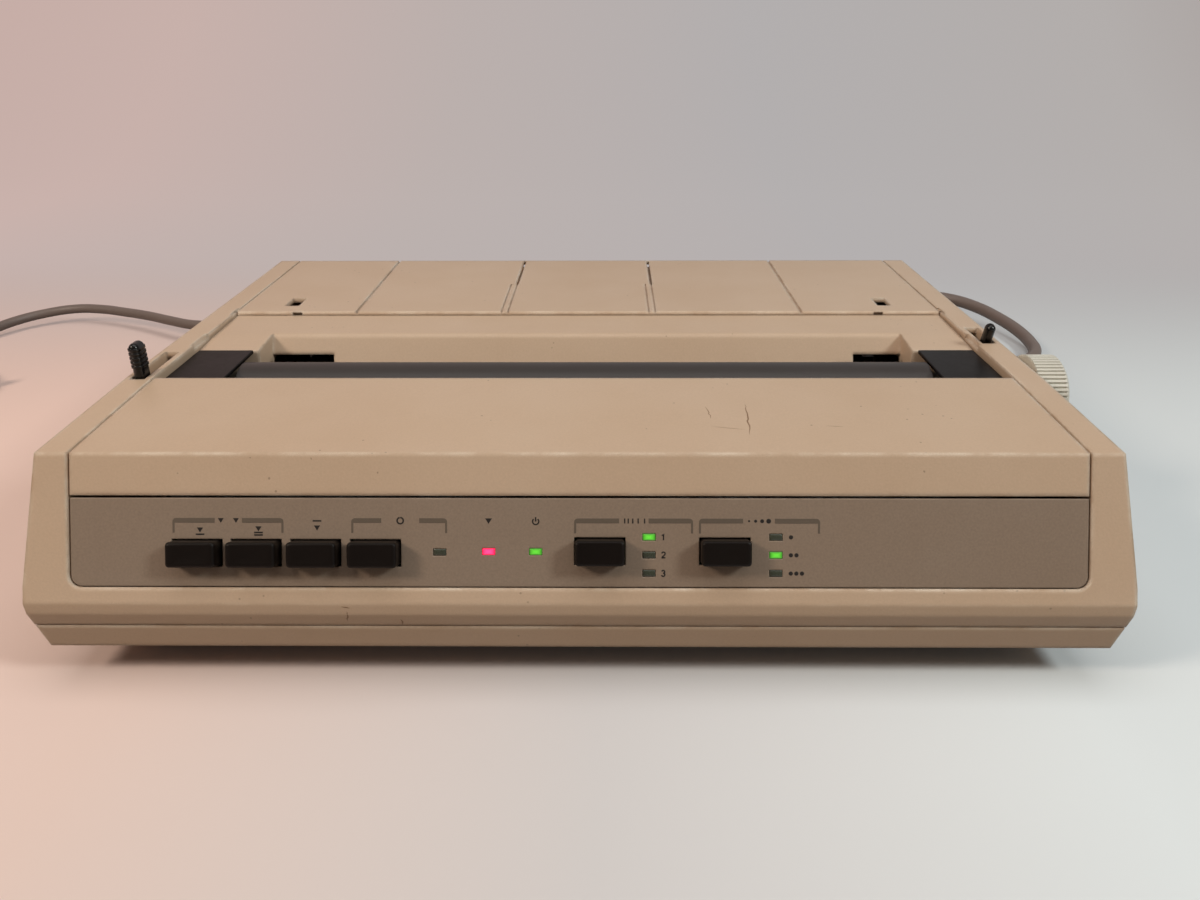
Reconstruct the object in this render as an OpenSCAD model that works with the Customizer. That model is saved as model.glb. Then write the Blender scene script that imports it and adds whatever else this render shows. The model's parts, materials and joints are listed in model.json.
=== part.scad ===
// Dot matrix printer: moulded case with a hinged front cover, a sheet guide flap on the rear deck,
// a platen with knob and paper feed train, a print head carriage, a paper bail and a button panel.
// X runs along the platen, the front looks along -Y, Z is up and the feet stand on z = 0.

/* [Case] */
// Widest part of the case
body_w = 360; // [352:1:380]
// Depth of the case from the front fold to the rear wall
body_d = 275; // [272:1:290]
// Height of the case top above the table
body_h = 80; // [79:1:86]
// Wall of the mouldings
wall = 2.5; // [2:0.1:3]
// Lean of the front face from upright, in degrees
face_lean = 23.2; // [20:0.1:26]
// Height of the front fold, the foremost edge
fold_z = 32.2; // [30:0.1:34]
// Height of the joint between the lower and upper case
seam_z = 23.4; // [21:0.1:25]
// Height of the lower edge of the lower case
lip_z = 13.8; // [12:0.1:15]
// How far each side leans in between its widest level and the top
side_taper = 4.7; // [3:0.1:6]
// Width of the fixed strip along each side of the top
strip_w = 10.4; // [10:0.1:13]
// Gap between a cover and the case
cover_gap = 0.8; // [0.5:0.1:1]
// Half width of the plinth below the case
plinth_x = 156; // [153:1:160]
// Thickness of the rubber feet
foot_h = 5; // [4:0.5:6]
// Radius of the rubber feet
foot_r = 9; // [7:0.5:10]

/* [Covers] */
// Depth of the top of the access cover
lid_depth = 63.9; // [60:0.1:68]
// Drop of the access cover from its rear edge to the front fold
lid_drop = 1.9; // [1:0.1:3]
// Depth of the platen opening between the cover and the rear deck
opening_d = 41.2; // [39:0.1:43]
// Depth of the rear deck in front of the sheet guide
deck_d = 46.9; // [43:0.1:49]
// Step of the rear deck below the top of the sheet guide
deck_step = 1.6; // [1.2:0.1:2]
// Thickness of the sheet guide
flap_t = 2; // [1.6:0.1:2.4]

/* [Panel] */
// Distance down the face from the top fold to the panel
panel_s0 = 14.5; // [14:0.1:16]
// Height of the panel along the face
panel_h = 28.7; // [28:0.1:30]
// Radius of the panel's lower corners
panel_r = 3.6; // [2.5:0.1:4.5]
// Thickness of the panel
panel_t = 2.4; // [2:0.1:3]
// Width of a button cap
button_w = 15.8; // [14:0.1:16.6]
// Height of a button cap along the face
button_h = 8.2; // [7:0.1:9]
// How far the buttons stand out of the panel
button_out = 6; // [4:0.5:7]
// Travel of a button
button_travel = 1.5; // [1:0.1:1.6]
// Width of a lamp window
lamp_w = 4.1; // [3.6:0.1:4.6]
// Height of a lamp window
lamp_h = 2.1; // [1.8:0.1:2.6]

/* [Platen] */
// Length of the rubber roller
platen_len = 280; // [275:1:281]
// Radius of the rubber roller
platen_r = 14.1; // [13.6:0.1:14.4]
// Distance of the platen axis behind the access cover
platen_back = 24.9; // [24:0.1:26]
// Depth of the platen axis below the case top
platen_drop = 17.4; // [17:0.1:18]
// Radius of the platen shaft
shaft_r = 4; // [3:0.1:4.5]
// Radius of the platen knob
knob_r = 17.2; // [15:0.1:18]
// Width of the platen knob
knob_w = 12.6; // [10:0.1:18]
// Gap between the platen knob and the widest part of the case
knob_gap = 0.3; // [0.2:0.1:2]
// Number of ribs round the knob
knob_ribs = 60; // [36:1:72]

/* [Mechanism] */
// Thickness of the steel side frames
frame_t = 1.6; // [1.2:0.1:2]
// Gap between the end of the platen and a side frame
frame_gap = 7.4; // [6.4:0.1:8.4]
// Module of the paper feed gears
gear_m = 0.8; // [0.78:0.01:0.82]
// Width of the paper feed gears
gear_w = 5; // [4:0.5:6]
// Radius of the guide rod that carries the carriage
rod_r = 4; // [3:0.1:4.5]
// Width of the carriage
carriage_w = 60; // [50:1:66]
// Radius of the belt pulleys
pulley_r = 8; // [6.5:0.1:8.5]
// Radial running clearance of shafts and pins
run_gap = 0.05; // [0.03:0.01:0.08]
// Gap between the platen and the rollers that press on it
nip_gap = 0.3; // [0.2:0.05:0.4]
// Radius of the pressure rollers
press_r = 4.5; // [4:0.1:4.8]
// Length of the bail arms
bail_reach = 27; // [26.6:0.1:27.6]
// Swing of the paper bail, in degrees
bail_swing = 31; // [25:1:31]
// Swing of the release lever, in degrees
release_swing = 20; // [16:1:24]

/* [Leads] */
// Diameter of the mains lead
mains_d = 6.5; // [6:0.1:7]
// Diameter of the interface cable
data_d = 8; // [7.5:0.1:8.4]
// Turns of the mains lead coil, half in each layer
mains_turns = 5; // [3:1:6]
// Turns of the interface cable coil, half in each layer
data_turns = 5; // [3:1:5]

/* [Hidden] */

$fn = 48;

// Outer case, seen from the side and from the front
hw = body_w / 2;
front_y = -body_d / 2;
rear_y = body_d / 2;
knob_x0 = hw + knob_gap;
knob_x1 = knob_x0 + knob_w;
mid_x = (hw - knob_x1) / 2;
top_front_z = body_h - lid_drop;
top_front_y = front_y + (top_front_z - fold_z) * tan(face_lean);
lid_rear_y = top_front_y + lid_depth;
deck_front_y = lid_rear_y + opening_d;
flap_front_y = deck_front_y + deck_d;
deck_z = body_h - deck_step;
rear_lean = 2.7;
rear_flat_z0 = fold_z - 4;
rear_flat_z1 = fold_z + 16;
seam_in = 2;
lip_in = 4;
fold_half = 3;
strip_x = hw - side_taper - strip_w;
cover_x = strip_x - cover_gap;
lid_rear_z = body_h;
floor_z = foot_h + wall;
plinth_y0 = front_y + 16;
plinth_y1 = rear_y - 14;

// Mechanism places
end_x = platen_len / 2;
frame_x0 = end_x + frame_gap;
frame_x1 = frame_x0 + frame_t;
platen_y = lid_rear_y + platen_back;
platen_z = body_h - platen_drop;
base_z0 = platen_z - 36.6;
base_z1 = base_z0 + 1.5;
base_y0 = platen_y - 75;
base_y1 = platen_y + 39;
rod_y = platen_y - 49;
rod_z = platen_z - 25.6;
bail_y = platen_y - 25;
bail_z = platen_z - 18.6;
press_y = platen_y + 15;
press_z = platen_z - 24.6;
teeth_roll = 28;
teeth_idler = 36;
teeth_pinion = 12;
mesh_gap = 0.15;
train_drop = -34.7;
roll_pitch = teeth_roll * gear_m / 2;
idler_pitch = teeth_idler * gear_m / 2;
pinion_pitch = teeth_pinion * gear_m / 2;
idler_y = platen_y + (roll_pitch + idler_pitch + mesh_gap) * cos(train_drop);
idler_z = platen_z + (roll_pitch + idler_pitch + mesh_gap) * sin(train_drop);
pinion_y = idler_y + (idler_pitch + pinion_pitch + mesh_gap) * cos(train_drop);
pinion_z = idler_z + (idler_pitch + pinion_pitch + mesh_gap) * sin(train_drop);
tractor_rise = 10;
tractor_y = idler_y + (idler_pitch + roll_pitch + mesh_gap) * cos(tractor_rise);
tractor_z = idler_z + (idler_pitch + roll_pitch + mesh_gap) * sin(tractor_rise);
tractor_x = 120.65;
tractor_w = 8;
tractor_r = platen_r + 0.1;
gear_x0 = -frame_x1 - 2 - gear_w;
gear_x1 = -frame_x1 - 2;
lever_x = hw - side_taper - 5;
lever_t = 4.2;
belt_y = platen_y - 29;
belt_z = base_z1 + 1.5;
belt_h = 5;
pulley_x = frame_x0 - 19;

// Cuts and small sizes
pin_r = 1.5;
slot_w = 5.7;

module on_mid() translate([mid_x, 0, 0]) children();

module block(x0, x1, y0, y1, z0, z1)
    translate([x0, y0, z0]) cube([x1 - x0, y1 - y0, z1 - z0]);

module both_sides() {
    children();
    mirror([1, 0, 0]) children();
}

// A section drawn in Y and Z, drawn out from x0 to x1
module along_x(x0, x1)
    translate([x0, 0, 0]) rotate([90, 0, 90]) linear_extrude(x1 - x0) children();

// A section drawn in X and Z, drawn out from y0 to y1
module along_y(y0, y1)
    translate([0, y1, 0]) rotate([90, 0, 0]) linear_extrude(y1 - y0) children();

module rod_along_x(x0, x1, y, z, r)
    translate([x0, y, z]) rotate([0, 90, 0]) cylinder(h = x1 - x0, r = r);

module rod_along_z(x, y, z0, z1, r)
    translate([x, y, z0]) cylinder(h = z1 - z0, r = r);

// Places children on the front face: x across, s down the face, h out of it
module on_face(x, s, h)
    translate([x, top_front_y, top_front_z]) rotate([90 - face_lean, 0, 0])
        translate([0, -s, h]) children();

module face_block(x, s, w, l, h0, h1)
    on_face(x, s, h0) translate([-w / 2, -l / 2, 0]) cube([w, l, h1 - h0]);

function face_y(s, h) = top_front_y - s * sin(face_lean) - h * cos(face_lean);
function face_z(s, h) = top_front_z - s * cos(face_lean) + h * sin(face_lean);

// Side outline of the upper case, drawn in by g
module case_side(g, z0) polygon([
    [front_y + seam_in + g, z0],
    [front_y + seam_in + g, seam_z],
    [front_y + g + 0.2, fold_z - fold_half],
    [front_y + g + 0.3, fold_z + 1],
    [front_y + g + (fold_half + g) * tan(face_lean), fold_z + fold_half + g],
    [top_front_y + g, top_front_z - g],
    [lid_rear_y, body_h - g],
    [rear_y - rear_lean - g, body_h - g],
    [rear_y - g, rear_flat_z1],
    [rear_y - g, rear_flat_z0],
    [rear_y - seam_in - g, seam_z],
    [rear_y - seam_in - g, z0]
]);

function case_half_width(g) = [
    [hw - 0.8 - g, seam_z],
    [hw - g, fold_z],
    [hw - g, fold_z + 6],
    [hw - side_taper - g, body_h]
];

// Front outline of the upper case, drawn in by g
module case_front(g, z0) {
    half = concat([[hw - 0.8 - g, z0]], case_half_width(g));
    polygon(concat(half, [for (i = [len(half) - 1 : -1 : 0]) [-half[i][0], half[i][1]]]));
}

module case_body(g, z0) intersection() {
    along_x(-hw, hw) case_side(g, z0);
    along_y(front_y, rear_y) case_front(g, z0);
}

module lower_outline(g, z0) intersection() {
    along_x(-hw, hw) polygon([
        [front_y + lip_in + g, z0],
        [front_y + seam_in + g, seam_z],
        [rear_y - seam_in - g, seam_z],
        [rear_y - lip_in - g, z0]
    ]);
    along_y(front_y, rear_y) polygon([
        [-hw + 2.5 + g, z0],
        [hw - 2.5 - g, z0],
        [hw - 0.8 - g, seam_z],
        [-hw + 0.8 + g, seam_z]
    ]);
}

// Places of the screws that join the cases, and of the posts in the lower case
screw_x = hw - 13;
screw_y = [front_y + 22, rear_y - 16];
screw_r = 1.5;
post_x = frame_x0 - 16;
post_at = [[-post_x, base_y0 + 8], [post_x, base_y0 + 8], [-post_x, base_y1 - 34], [post_x, base_y1 - 8]];
foot_x = plinth_x - 16;
foot_y = [plinth_y0 + 16, plinth_y1 - 16];
board_z0 = floor_z + 12.5;
board_z1 = board_z0 + 1.6;
board_x = [-50, 140];
board_y = [42, rear_y - 12.5];
board_post_x = [board_x[0] + 6, board_x[1] - 6];
board_post_y = [board_y[0] + 6, board_y[1] - 8];
trafo_x = [-132, -74];
trafo_y = [rear_y - 75.5, rear_y - 29.5];

module lower_case() color([0.76, 0.70, 0.60]) on_mid() difference() {
    union() {
        difference() {
            union() {
                lower_outline(0, lip_z);
                block(-plinth_x, plinth_x, plinth_y0, plinth_y1, foot_h, lip_z + wall);
            }
            lower_outline(wall, lip_z + wall);
            block(-plinth_x + wall, plinth_x - wall, plinth_y0 + wall, plinth_y1 - wall, floor_z, seam_z);
        }
        for (p = post_at) rod_along_z(p[0], p[1], foot_h + 1, base_z0, 5);
        for (x = board_post_x, y = board_post_y) rod_along_z(x, y, foot_h + 1, board_z0, 3.5);
        for (x = [-screw_x, screw_x], y = screw_y) rod_along_z(x, y, lip_z, seam_z - 1, 5);
        for (y = [plinth_y0 + 40 : 40 : plinth_y1 - 20])
            block(-plinth_x + 1, plinth_x - 1, y, y + 1.6, foot_h + 1, floor_z + 2);
        block(trafo_x[0] - 3, trafo_x[1] + 3, trafo_y[0] - 2, trafo_y[1] + 2, foot_h + 1, floor_z + 2);
    }
    for (x = [-screw_x, screw_x], y = screw_y) {
        rod_along_z(x, y, lip_z - 1, seam_z, screw_r + 0.2);
        rod_along_z(x, y, lip_z - 1, lip_z + 1.9, 3.2);
    }
    for (x = [-foot_x, foot_x], y = foot_y) rod_along_z(x, y, foot_h - 1, foot_h + 1, foot_r + 0.2);
    for (p = post_at) rod_along_z(p[0], p[1], base_z0 - 7, base_z0 + 1, screw_r);
    for (x = board_post_x, y = board_post_y) rod_along_z(x, y, board_z0 - 7, board_z0 + 1, screw_r);
    for (x = [-90 : 12 : 90])
        block(x - 2, x + 2, plinth_y1 - 60, plinth_y1 - 42, foot_h - 1, floor_z + 3);
}

module rubber_feet() color([0.12, 0.12, 0.12]) on_mid()
    for (x = [-foot_x, foot_x], y = foot_y) {
        translate([x, y, 0]) cylinder(h = foot_h, r1 = foot_r - 1.2, r2 = foot_r);
        rod_along_z(x, y, foot_h - 0.5, foot_h + 1, foot_r);
    }

module cross_slot(x, y, z0, z1) {
    block(x - 2.2, x + 2.2, y - 0.4, y + 0.4, z0, z1);
    block(x - 0.4, x + 0.4, y - 2.2, y + 2.2, z0, z1);
}

module down_screw(x, y, z) difference() {
    union() {
        rod_along_z(x, y, z - 8, z + 0.1, screw_r);
        rod_along_z(x, y, z, z + 1.8, 3);
    }
    cross_slot(x, y, z + 1, z + 2);
}

module case_screws() color([0.7, 0.7, 0.7]) on_mid() {
    for (x = [-screw_x, screw_x], y = screw_y) difference() {
        union() {
            rod_along_z(x, y, lip_z + 1.8, seam_z + 8, screw_r);
            rod_along_z(x, y, lip_z + 0.2, lip_z + 1.9, 3);
        }
        cross_slot(x, y, lip_z - 1, lip_z + 1);
    }
    for (p = post_at) down_screw(p[0], p[1], base_z1);
    for (x = board_post_x, y = board_post_y) down_screw(x, y, board_z1);
}

// Return wall under the inner edge of each side strip
rim_t = 2.3;
rim_z0 = body_h - 12.4;
rear_top_z = body_h - 8.5;
lid_pin_y = lid_rear_y - 2.6;
lid_pin_z = body_h - 2.9;
flap_pin_y = flap_front_y + 2;
flap_pin_z = body_h - 1.9;
flap_pin_r = 1.2;
lever_d = 7.4;
lever_y0 = bail_y - 0.4;
slot_gap = 0.8;
slot_y0 = lever_y0 - slot_gap;
slot_y1 = lever_y0 + lever_d / cos(bail_swing) + (body_h - bail_z) * tan(bail_swing) + slot_gap;
release_d = 4.8;
release_back = 5.8;
release_lean = 20;
release_y = press_y + release_back;
release_slot_y0 = release_y - release_d / 2 - slot_gap - 1.2;
release_slot_y1 = release_y + release_d / 2 + (body_h - press_z) * sin(release_swing) + slot_gap;
rocker_y = rear_y - 7.5;
socket_x = 60;
socket_w = 66;
socket_z = [24.6, 40.6];
cord_x = -118;
cord_z = 33;
grip_r = 5.6;
switch_x = -150;
switch_w = 13;
switch_h = 19;
switch_z = 37.5;
lug_t = 2.4;
lug_x = switch_w / 2 + 0.3 + lug_t / 2;
ledge_x = cover_x - 2.7;
catch_w = 1.1;
recess_gap = 0.4;
recess_s1 = panel_s0 + panel_h + recess_gap;

// Fills a lower corner of the panel's recess out to a round of radius r
module recess_corner(x, r) on_face(x - r, recess_s1, -9) linear_extrude(12) difference() {
    translate([0, -0.5]) square([r + 1, r + 0.5]);
    translate([0, r]) circle(r);
}

module upper_case() color([0.78, 0.72, 0.62]) on_mid() difference() {
    union() {
        difference() {
            case_body(0, seam_z + 0.5);
            case_body(wall, seam_z - 1);
            block(-strip_x, strip_x, top_front_y - 40, rear_y + 1, rear_top_z, body_h + 1);
            difference() {
                along_x(-strip_x, strip_x) polygon([
                    [face_y(recess_s1, 2), face_z(recess_s1, 2)],
                    [face_y(recess_s1, -9), face_z(recess_s1, -9)],
                    [top_front_y + 20, body_h + 2],
                    [front_y, body_h + 2]
                ]);
                both_sides() recess_corner(strip_x, panel_r + recess_gap);
            }
        }
        both_sides() intersection() {
            case_body(0, seam_z + 0.5);
            union() {
                block(strip_x, strip_x + rim_t, top_front_y - 20, rear_y - 1, rim_z0, body_h - 0.5);
                block(ledge_x, strip_x + 1, deck_front_y + 4, rear_y - 8, rim_z0 - 2, rim_z0);
                block(ledge_x, strip_x + 1, lid_rear_y - 46, lid_rear_y - 10, rim_z0 - 2, rim_z0);
                face_block(strip_x + 1.2, panel_s0 + panel_h / 2, 2.4, panel_h + 20, -9, -0.8);
            }
        }
        both_sides() face_block(strip_x - 1, panel_s0 + panel_h / 2, 8, panel_h - 2,
            -panel_t - 2.4, -panel_t - 0.2);
        for (k = [-1, 1]) block(switch_x + k * lug_x - lug_t / 2, switch_x + k * lug_x + lug_t / 2,
            rocker_y - 4, rear_y - wall + 0.5, switch_z - 4, switch_z + 4);
        for (x = [-screw_x, screw_x], y = screw_y) {
            rod_along_z(x, y, seam_z, seam_z + 16, 4.5);
            block(x - 1, x + 1, y - 1, y + 1, seam_z + 12, seam_z + 16);
            intersection() {
                case_body(1, seam_z + 0.5);
                block(min(x, x + sign(x) * 16), max(x, x + sign(x) * 16), y - 1, y + 1,
                    seam_z + 2, seam_z + 16);
            }
        }
    }
    for (x = [-screw_x, screw_x], y = screw_y) rod_along_z(x, y, seam_z - 1, seam_z + 9, screw_r);
    block(-lever_x - slot_w / 2, -lever_x + slot_w / 2, slot_y0, slot_y1, body_h - 6, body_h + 1);
    block(lever_x - slot_w / 2, lever_x + slot_w / 2, release_slot_y0, release_slot_y1,
        body_h - 6, body_h + 1);
    both_sides() block(strip_x - 1, strip_x + catch_w, deck_front_y - 2.4, deck_front_y + 13.6,
        body_h - 1.8, body_h + 1);
    both_sides() block(strip_x - 1, strip_x + catch_w, flap_pin_y - 6, flap_pin_y + 4,
        body_h - 0.6, body_h + 1);
    rod_along_x(frame_x1, hw + 1, platen_y, platen_z, shaft_r + 1.5);
    both_sides() rod_along_x(cover_x, strip_x + rim_t + 0.1, lid_pin_y, lid_pin_z, pin_r + run_gap);
    both_sides() rod_along_x(cover_x, strip_x + rim_t + 0.1, flap_pin_y, flap_pin_z, flap_pin_r + run_gap);
    block(socket_x - socket_w / 2 - 0.4, socket_x + socket_w / 2 + 0.4, rear_y - 9, rear_y + 1,
        socket_z[0] - 0.4, socket_z[1] + 0.4);
    translate([cord_x, rear_y + 1, cord_z]) rotate([90, 0, 0]) cylinder(h = 9, r = grip_r);
    block(switch_x - switch_w / 2 - 0.3, switch_x + switch_w / 2 + 0.3, rear_y - 9, rear_y + 1,
        switch_z - switch_h / 2 - 0.3, switch_z + switch_h / 2 + 0.3);
    rod_along_x(switch_x - lug_x - lug_t, switch_x + lug_x + lug_t, rocker_y, switch_z, pin_r + run_gap);
}

lid_skirt_s = panel_s0 - cover_gap;
lid_rib = 5;

module access_cover() color([0.79, 0.73, 0.63]) on_mid() {
    along_x(-cover_x, cover_x) polygon([
        [face_y(lid_skirt_s, 0), face_z(lid_skirt_s, 0)],
        [top_front_y, top_front_z],
        [lid_rear_y, lid_rear_z],
        [lid_rear_y, lid_rear_z - wall],
        [top_front_y + wall, top_front_z - wall],
        [face_y(lid_skirt_s, -wall), face_z(lid_skirt_s, -wall)]
    ]);
    both_sides() along_x(cover_x - 2.2, cover_x) polygon([
        [face_y(10, -1), face_z(10, -1)],
        [top_front_y + 1, top_front_z - 1],
        [lid_rear_y - 0.6, lid_rear_z - 1],
        [lid_rear_y - 0.9, lid_pin_z - pin_r - 0.4],
        [top_front_y + 6, top_front_z - wall - lid_rib],
        [face_y(10, -wall - 1.5), face_z(10, -wall - 1.5)]
    ]);
    for (x = [-0.6, -0.2, 0.2, 0.6]) along_x(x * cover_x - 0.8, x * cover_x + 0.8) polygon([
        [face_y(8, -1), face_z(8, -1)],
        [top_front_y + 1, top_front_z - 1],
        [lid_rear_y - 3, lid_rear_z - 1],
        [lid_rear_y - 3, lid_rear_z - wall - 1],
        [top_front_y + 6, top_front_z - wall - 1.6],
        [face_y(8, -wall - 1.1), face_z(8, -wall - 1.1)]
    ]);
    both_sides() rod_along_x(cover_x - 1, strip_x + rim_t - 0.3, lid_pin_y, lid_pin_z, pin_r);
}

block_x = end_x - 1.4;
notch_x = [-111.4, 117.8];
notch_h = 3.9;
chute_y = deck_front_y + 18.2;
chute_z0 = rim_z0 - 1.6;
chute_slope = 25;
chute_t = 2.2;
fold_r = 2.5;
sweep_y = chute_y + fold_r * (1 - cos(chute_slope));
sweep_z = deck_z - 0.4 - fold_r * (1 - sin(chute_slope));
chute_foot = sweep_y - (sweep_z - chute_z0) * tan(chute_slope);
lip_x = tractor_x - 10.6;
flap_gap = 0.5;
deck_rear_y = flap_front_y - flap_gap;
paper_deck_z = body_h - 10;
side_wall_x = cover_x - 5.6;

module rear_cover() color([0.78, 0.72, 0.62]) on_mid() difference() {
    union() {
        along_x(-cover_x, cover_x) polygon(concat(
            [for (k = [0 : 5]) let (a = chute_slope + (90 - chute_slope) * k / 5)
                [chute_y + fold_r - fold_r * cos(a), deck_z - 0.4 - fold_r + fold_r * sin(a)]],
            [[deck_rear_y, deck_z],
            [deck_rear_y, deck_z - wall],
            [chute_y + chute_t + 1.6, deck_z - wall - 0.4],
            [chute_y + chute_t, deck_z - wall - 2],
            [chute_foot + chute_t, chute_z0],
            [chute_foot, chute_z0]]
        ));
        along_x(-lip_x, lip_x) polygon([
            [chute_foot, chute_z0 + 0.5],
            [chute_foot + chute_t, chute_z0 + 0.5],
            [chute_foot + chute_t, chute_z0 - 0.4],
            [chute_y - 4.2, chute_z0 - 4.4],
            [chute_y - 5, chute_z0 - 3.6]
        ]);
        both_sides() block(block_x, cover_x, deck_front_y, chute_y + 3.2, rim_z0, deck_z - 2);
        both_sides() along_x(block_x, cover_x) polygon([
            [deck_front_y, deck_z - 1.6],
            [chute_y, deck_z - 0.4],
            [chute_y + fold_r + 1, deck_z - 0.4],
            [chute_y + fold_r + 1, deck_z - wall - 0.6],
            [deck_front_y, deck_z - wall - 1.6]
        ]);
        both_sides() block(side_wall_x, side_wall_x + 2.4, chute_y, deck_rear_y - 1, rim_z0, deck_z - 1);
        both_sides() block(side_wall_x, side_wall_x + 2.4, deck_rear_y - 2, rear_y - rear_lean - wall - 0.5,
            rim_z0, deck_z - 3.4);
        both_sides() block(side_wall_x, cover_x, chute_y, flap_front_y - 2, rim_z0, rim_z0 + 2);
        both_sides() block(side_wall_x, ledge_x + 1.8, flap_front_y - 3, rear_y - 8.5, rim_z0, rim_z0 + 2);
        block(-side_wall_x - 1, side_wall_x + 1, deck_rear_y - 1, rear_y - rear_lean - wall - 0.5,
            paper_deck_z, paper_deck_z + 2);
        for (x = [-1.2, -0.4, 0.4, 1.2] * 90) block(x - 0.8, x + 0.8, deck_rear_y + 2, rear_y - 8,
            paper_deck_z - 4, paper_deck_z + 1);
    }
    block(-block_x, notch_x[0], chute_foot - 1, chute_y + 4, chute_z0 - 1, chute_z0 + notch_h);
    block(notch_x[1], block_x, chute_foot - 1, chute_y + 4, chute_z0 - 1, chute_z0 + notch_h);
    both_sides() block(block_x + 2, side_wall_x - 0.1, deck_front_y + 2, chute_y + 4,
        rim_z0 - 1, deck_z - wall - 2);
    both_sides() block(ledge_x - 0.4, cover_x + 1, chute_foot - 1, chute_y + 4, chute_z0 - 1, rim_z0);
}

groove_x = [-108, -38.5, 30.5, 100];
groove_w = 1.3;
window_x = 141.5;
window_y = flap_front_y + 16.5;
flap_edge = 0.6;
hook_x = 136;
hook_w = 4.4;

module sheet_guide() color([0.79, 0.73, 0.63]) on_mid() difference() {
    union() {
        along_x(-cover_x, cover_x) polygon([
            [flap_front_y, body_h - flap_t],
            [flap_front_y, body_h - flap_edge],
            [flap_front_y + flap_edge, body_h],
            [rear_y - rear_lean, body_h],
            [rear_y - rear_lean, body_h - flap_t]
        ]);
        both_sides() along_x(cover_x - 2.4, cover_x) polygon([
            [flap_front_y + 0.1, body_h - 1],
            [flap_front_y + 0.1, flap_pin_z - 1.4],
            [flap_pin_y + 1, flap_pin_z - flap_pin_r - 1],
            [flap_pin_y + 14, body_h - 1]
        ]);
        both_sides() rod_along_x(cover_x - 1, strip_x + rim_t - 0.3, flap_pin_y, flap_pin_z, flap_pin_r);
        for (x = groove_x) block(x - 2.6, x + 2.6, flap_front_y + 4, rear_y - rear_lean - 5,
            body_h - flap_t - 1.6, body_h - 1);
    }
    for (x = [groove_x[0], groove_x[3]])
        block(x - groove_w / 2, x + groove_w / 2, flap_front_y - 1, rear_y, body_h - 0.8, body_h + 1);
    for (x = [groove_x[1], groove_x[2]], k = [-1.5, 1.5])
        block(x + k - 0.4, x + k + 0.4, flap_front_y - 1, flap_front_y + 50, body_h - 0.6, body_h + 1);
    for (x = [groove_x[1], groove_x[2]])
        block(x + 0.8, x + 2.2, flap_front_y + 50, rear_y - rear_lean - 1, body_h - 2.4, body_h + 1);
    both_sides() block(window_x - 3.2, window_x + 3.2, window_y - 6.2, window_y + 6.2,
        body_h - 9, body_h + 1);
    both_sides() block(hook_x - hook_w / 2, hook_x + hook_w / 2, flap_front_y - 1, flap_front_y + 1.6,
        body_h - flap_t - 0.1, body_h - 0.4);
}

button_s = 32.3;
button_s_right = 31.6;
button_x = [-123, -103.8, -84.5, -65.1, 7.4, 47.7];
button_row = [button_s, button_s, button_s, button_s, button_s_right, button_s_right];
cap_gap = 0.4;
flange_h = 1.5;
board_h = 12;
board_t = 1.6;
switch_top = board_h - 2.2;
lit_green = [[-13.3, 31.8], [23.25, 27], [64.1, 32.8]];
lit_red = [[-28.5, 31.8]];
unlit = [[-44.3, 32], [23.25, 32.8], [23.25, 38.7], [64.1, 27], [64.1, 38.7]];
panel_x = cover_x;
board_x0 = -136;
board_x1 = 76;
board_s = 32;
board_s_h = 19;
panel_post_x = [-134, -52, -5, 72.5];

module panel_outline() {
    translate([-panel_x, panel_r - panel_h]) square([2 * panel_x, panel_h - panel_r]);
    translate([panel_r - panel_x, -panel_h]) square([2 * (panel_x - panel_r), panel_h]);
    for (x = [panel_r - panel_x, panel_x - panel_r]) translate([x, panel_r - panel_h]) circle(panel_r);
}

module control_panel() color([0.51, 0.46, 0.41]) on_mid() difference() {
    union() {
        on_face(0, panel_s0, -panel_t - 0.2) linear_extrude(panel_t) panel_outline();
        face_block(0, panel_s0 + 1, 2 * panel_x - 22, 1.6, -7, -1);
        face_block(0, panel_s0 + panel_h - 1.4, 2 * panel_x - 22, 1.6, -7, -1);
        for (x = panel_post_x) on_face(x, board_s + 5, -board_h) cylinder(h = board_h - 1, r = 2);
    }
    for (i = [0 : 5]) face_block(button_x[i], button_row[i], button_w + 2 * cap_gap, button_h + 2 * cap_gap,
        -4, 1);
    for (p = concat(lit_green, lit_red, unlit)) face_block(p[0], p[1], lamp_w + 0.2, lamp_h + 0.2, -4, 1);
}

module push_button(i) {
    x = button_x[i];
    s = button_row[i];
    face_block(x, s, button_w, button_h, -panel_t - 1, button_out - 0.8);
    face_block(x, s, button_w - 1.4, button_h - 1.4, button_out - 1, button_out);
    face_block(x, s, button_w + 1.6, button_h + 2.4, -panel_t - 0.5 - flange_h, -panel_t - 0.5);
    on_face(x, s, -switch_top + button_travel + 0.3)
        cylinder(h = switch_top - panel_t - button_travel - 1, r = 2);
}

module line_feed_button() color([0.10, 0.08, 0.07]) on_mid() push_button(0);
module form_feed_button() color([0.10, 0.08, 0.07]) on_mid() push_button(1);
module top_of_form_button() color([0.10, 0.08, 0.07]) on_mid() push_button(2);
module select_button() color([0.10, 0.08, 0.07]) on_mid() push_button(3);
module pitch_button() color([0.08, 0.07, 0.07]) on_mid() push_button(4);
module mode_button() color([0.08, 0.07, 0.07]) on_mid() push_button(5);

module lamp(p) face_block(p[0], p[1], lamp_w, lamp_h, -board_h, -0.3);

module lamp_red() color([1.0, 0.12, 0.25]) on_mid() for (p = lit_red) lamp(p);
module lamps_green_lit() color([0.25, 0.9, 0.2]) on_mid() for (p = lit_green) lamp(p);
module lamps_unlit() color([0.16, 0.15, 0.13]) on_mid() for (p = unlit) lamp(p);

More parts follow.
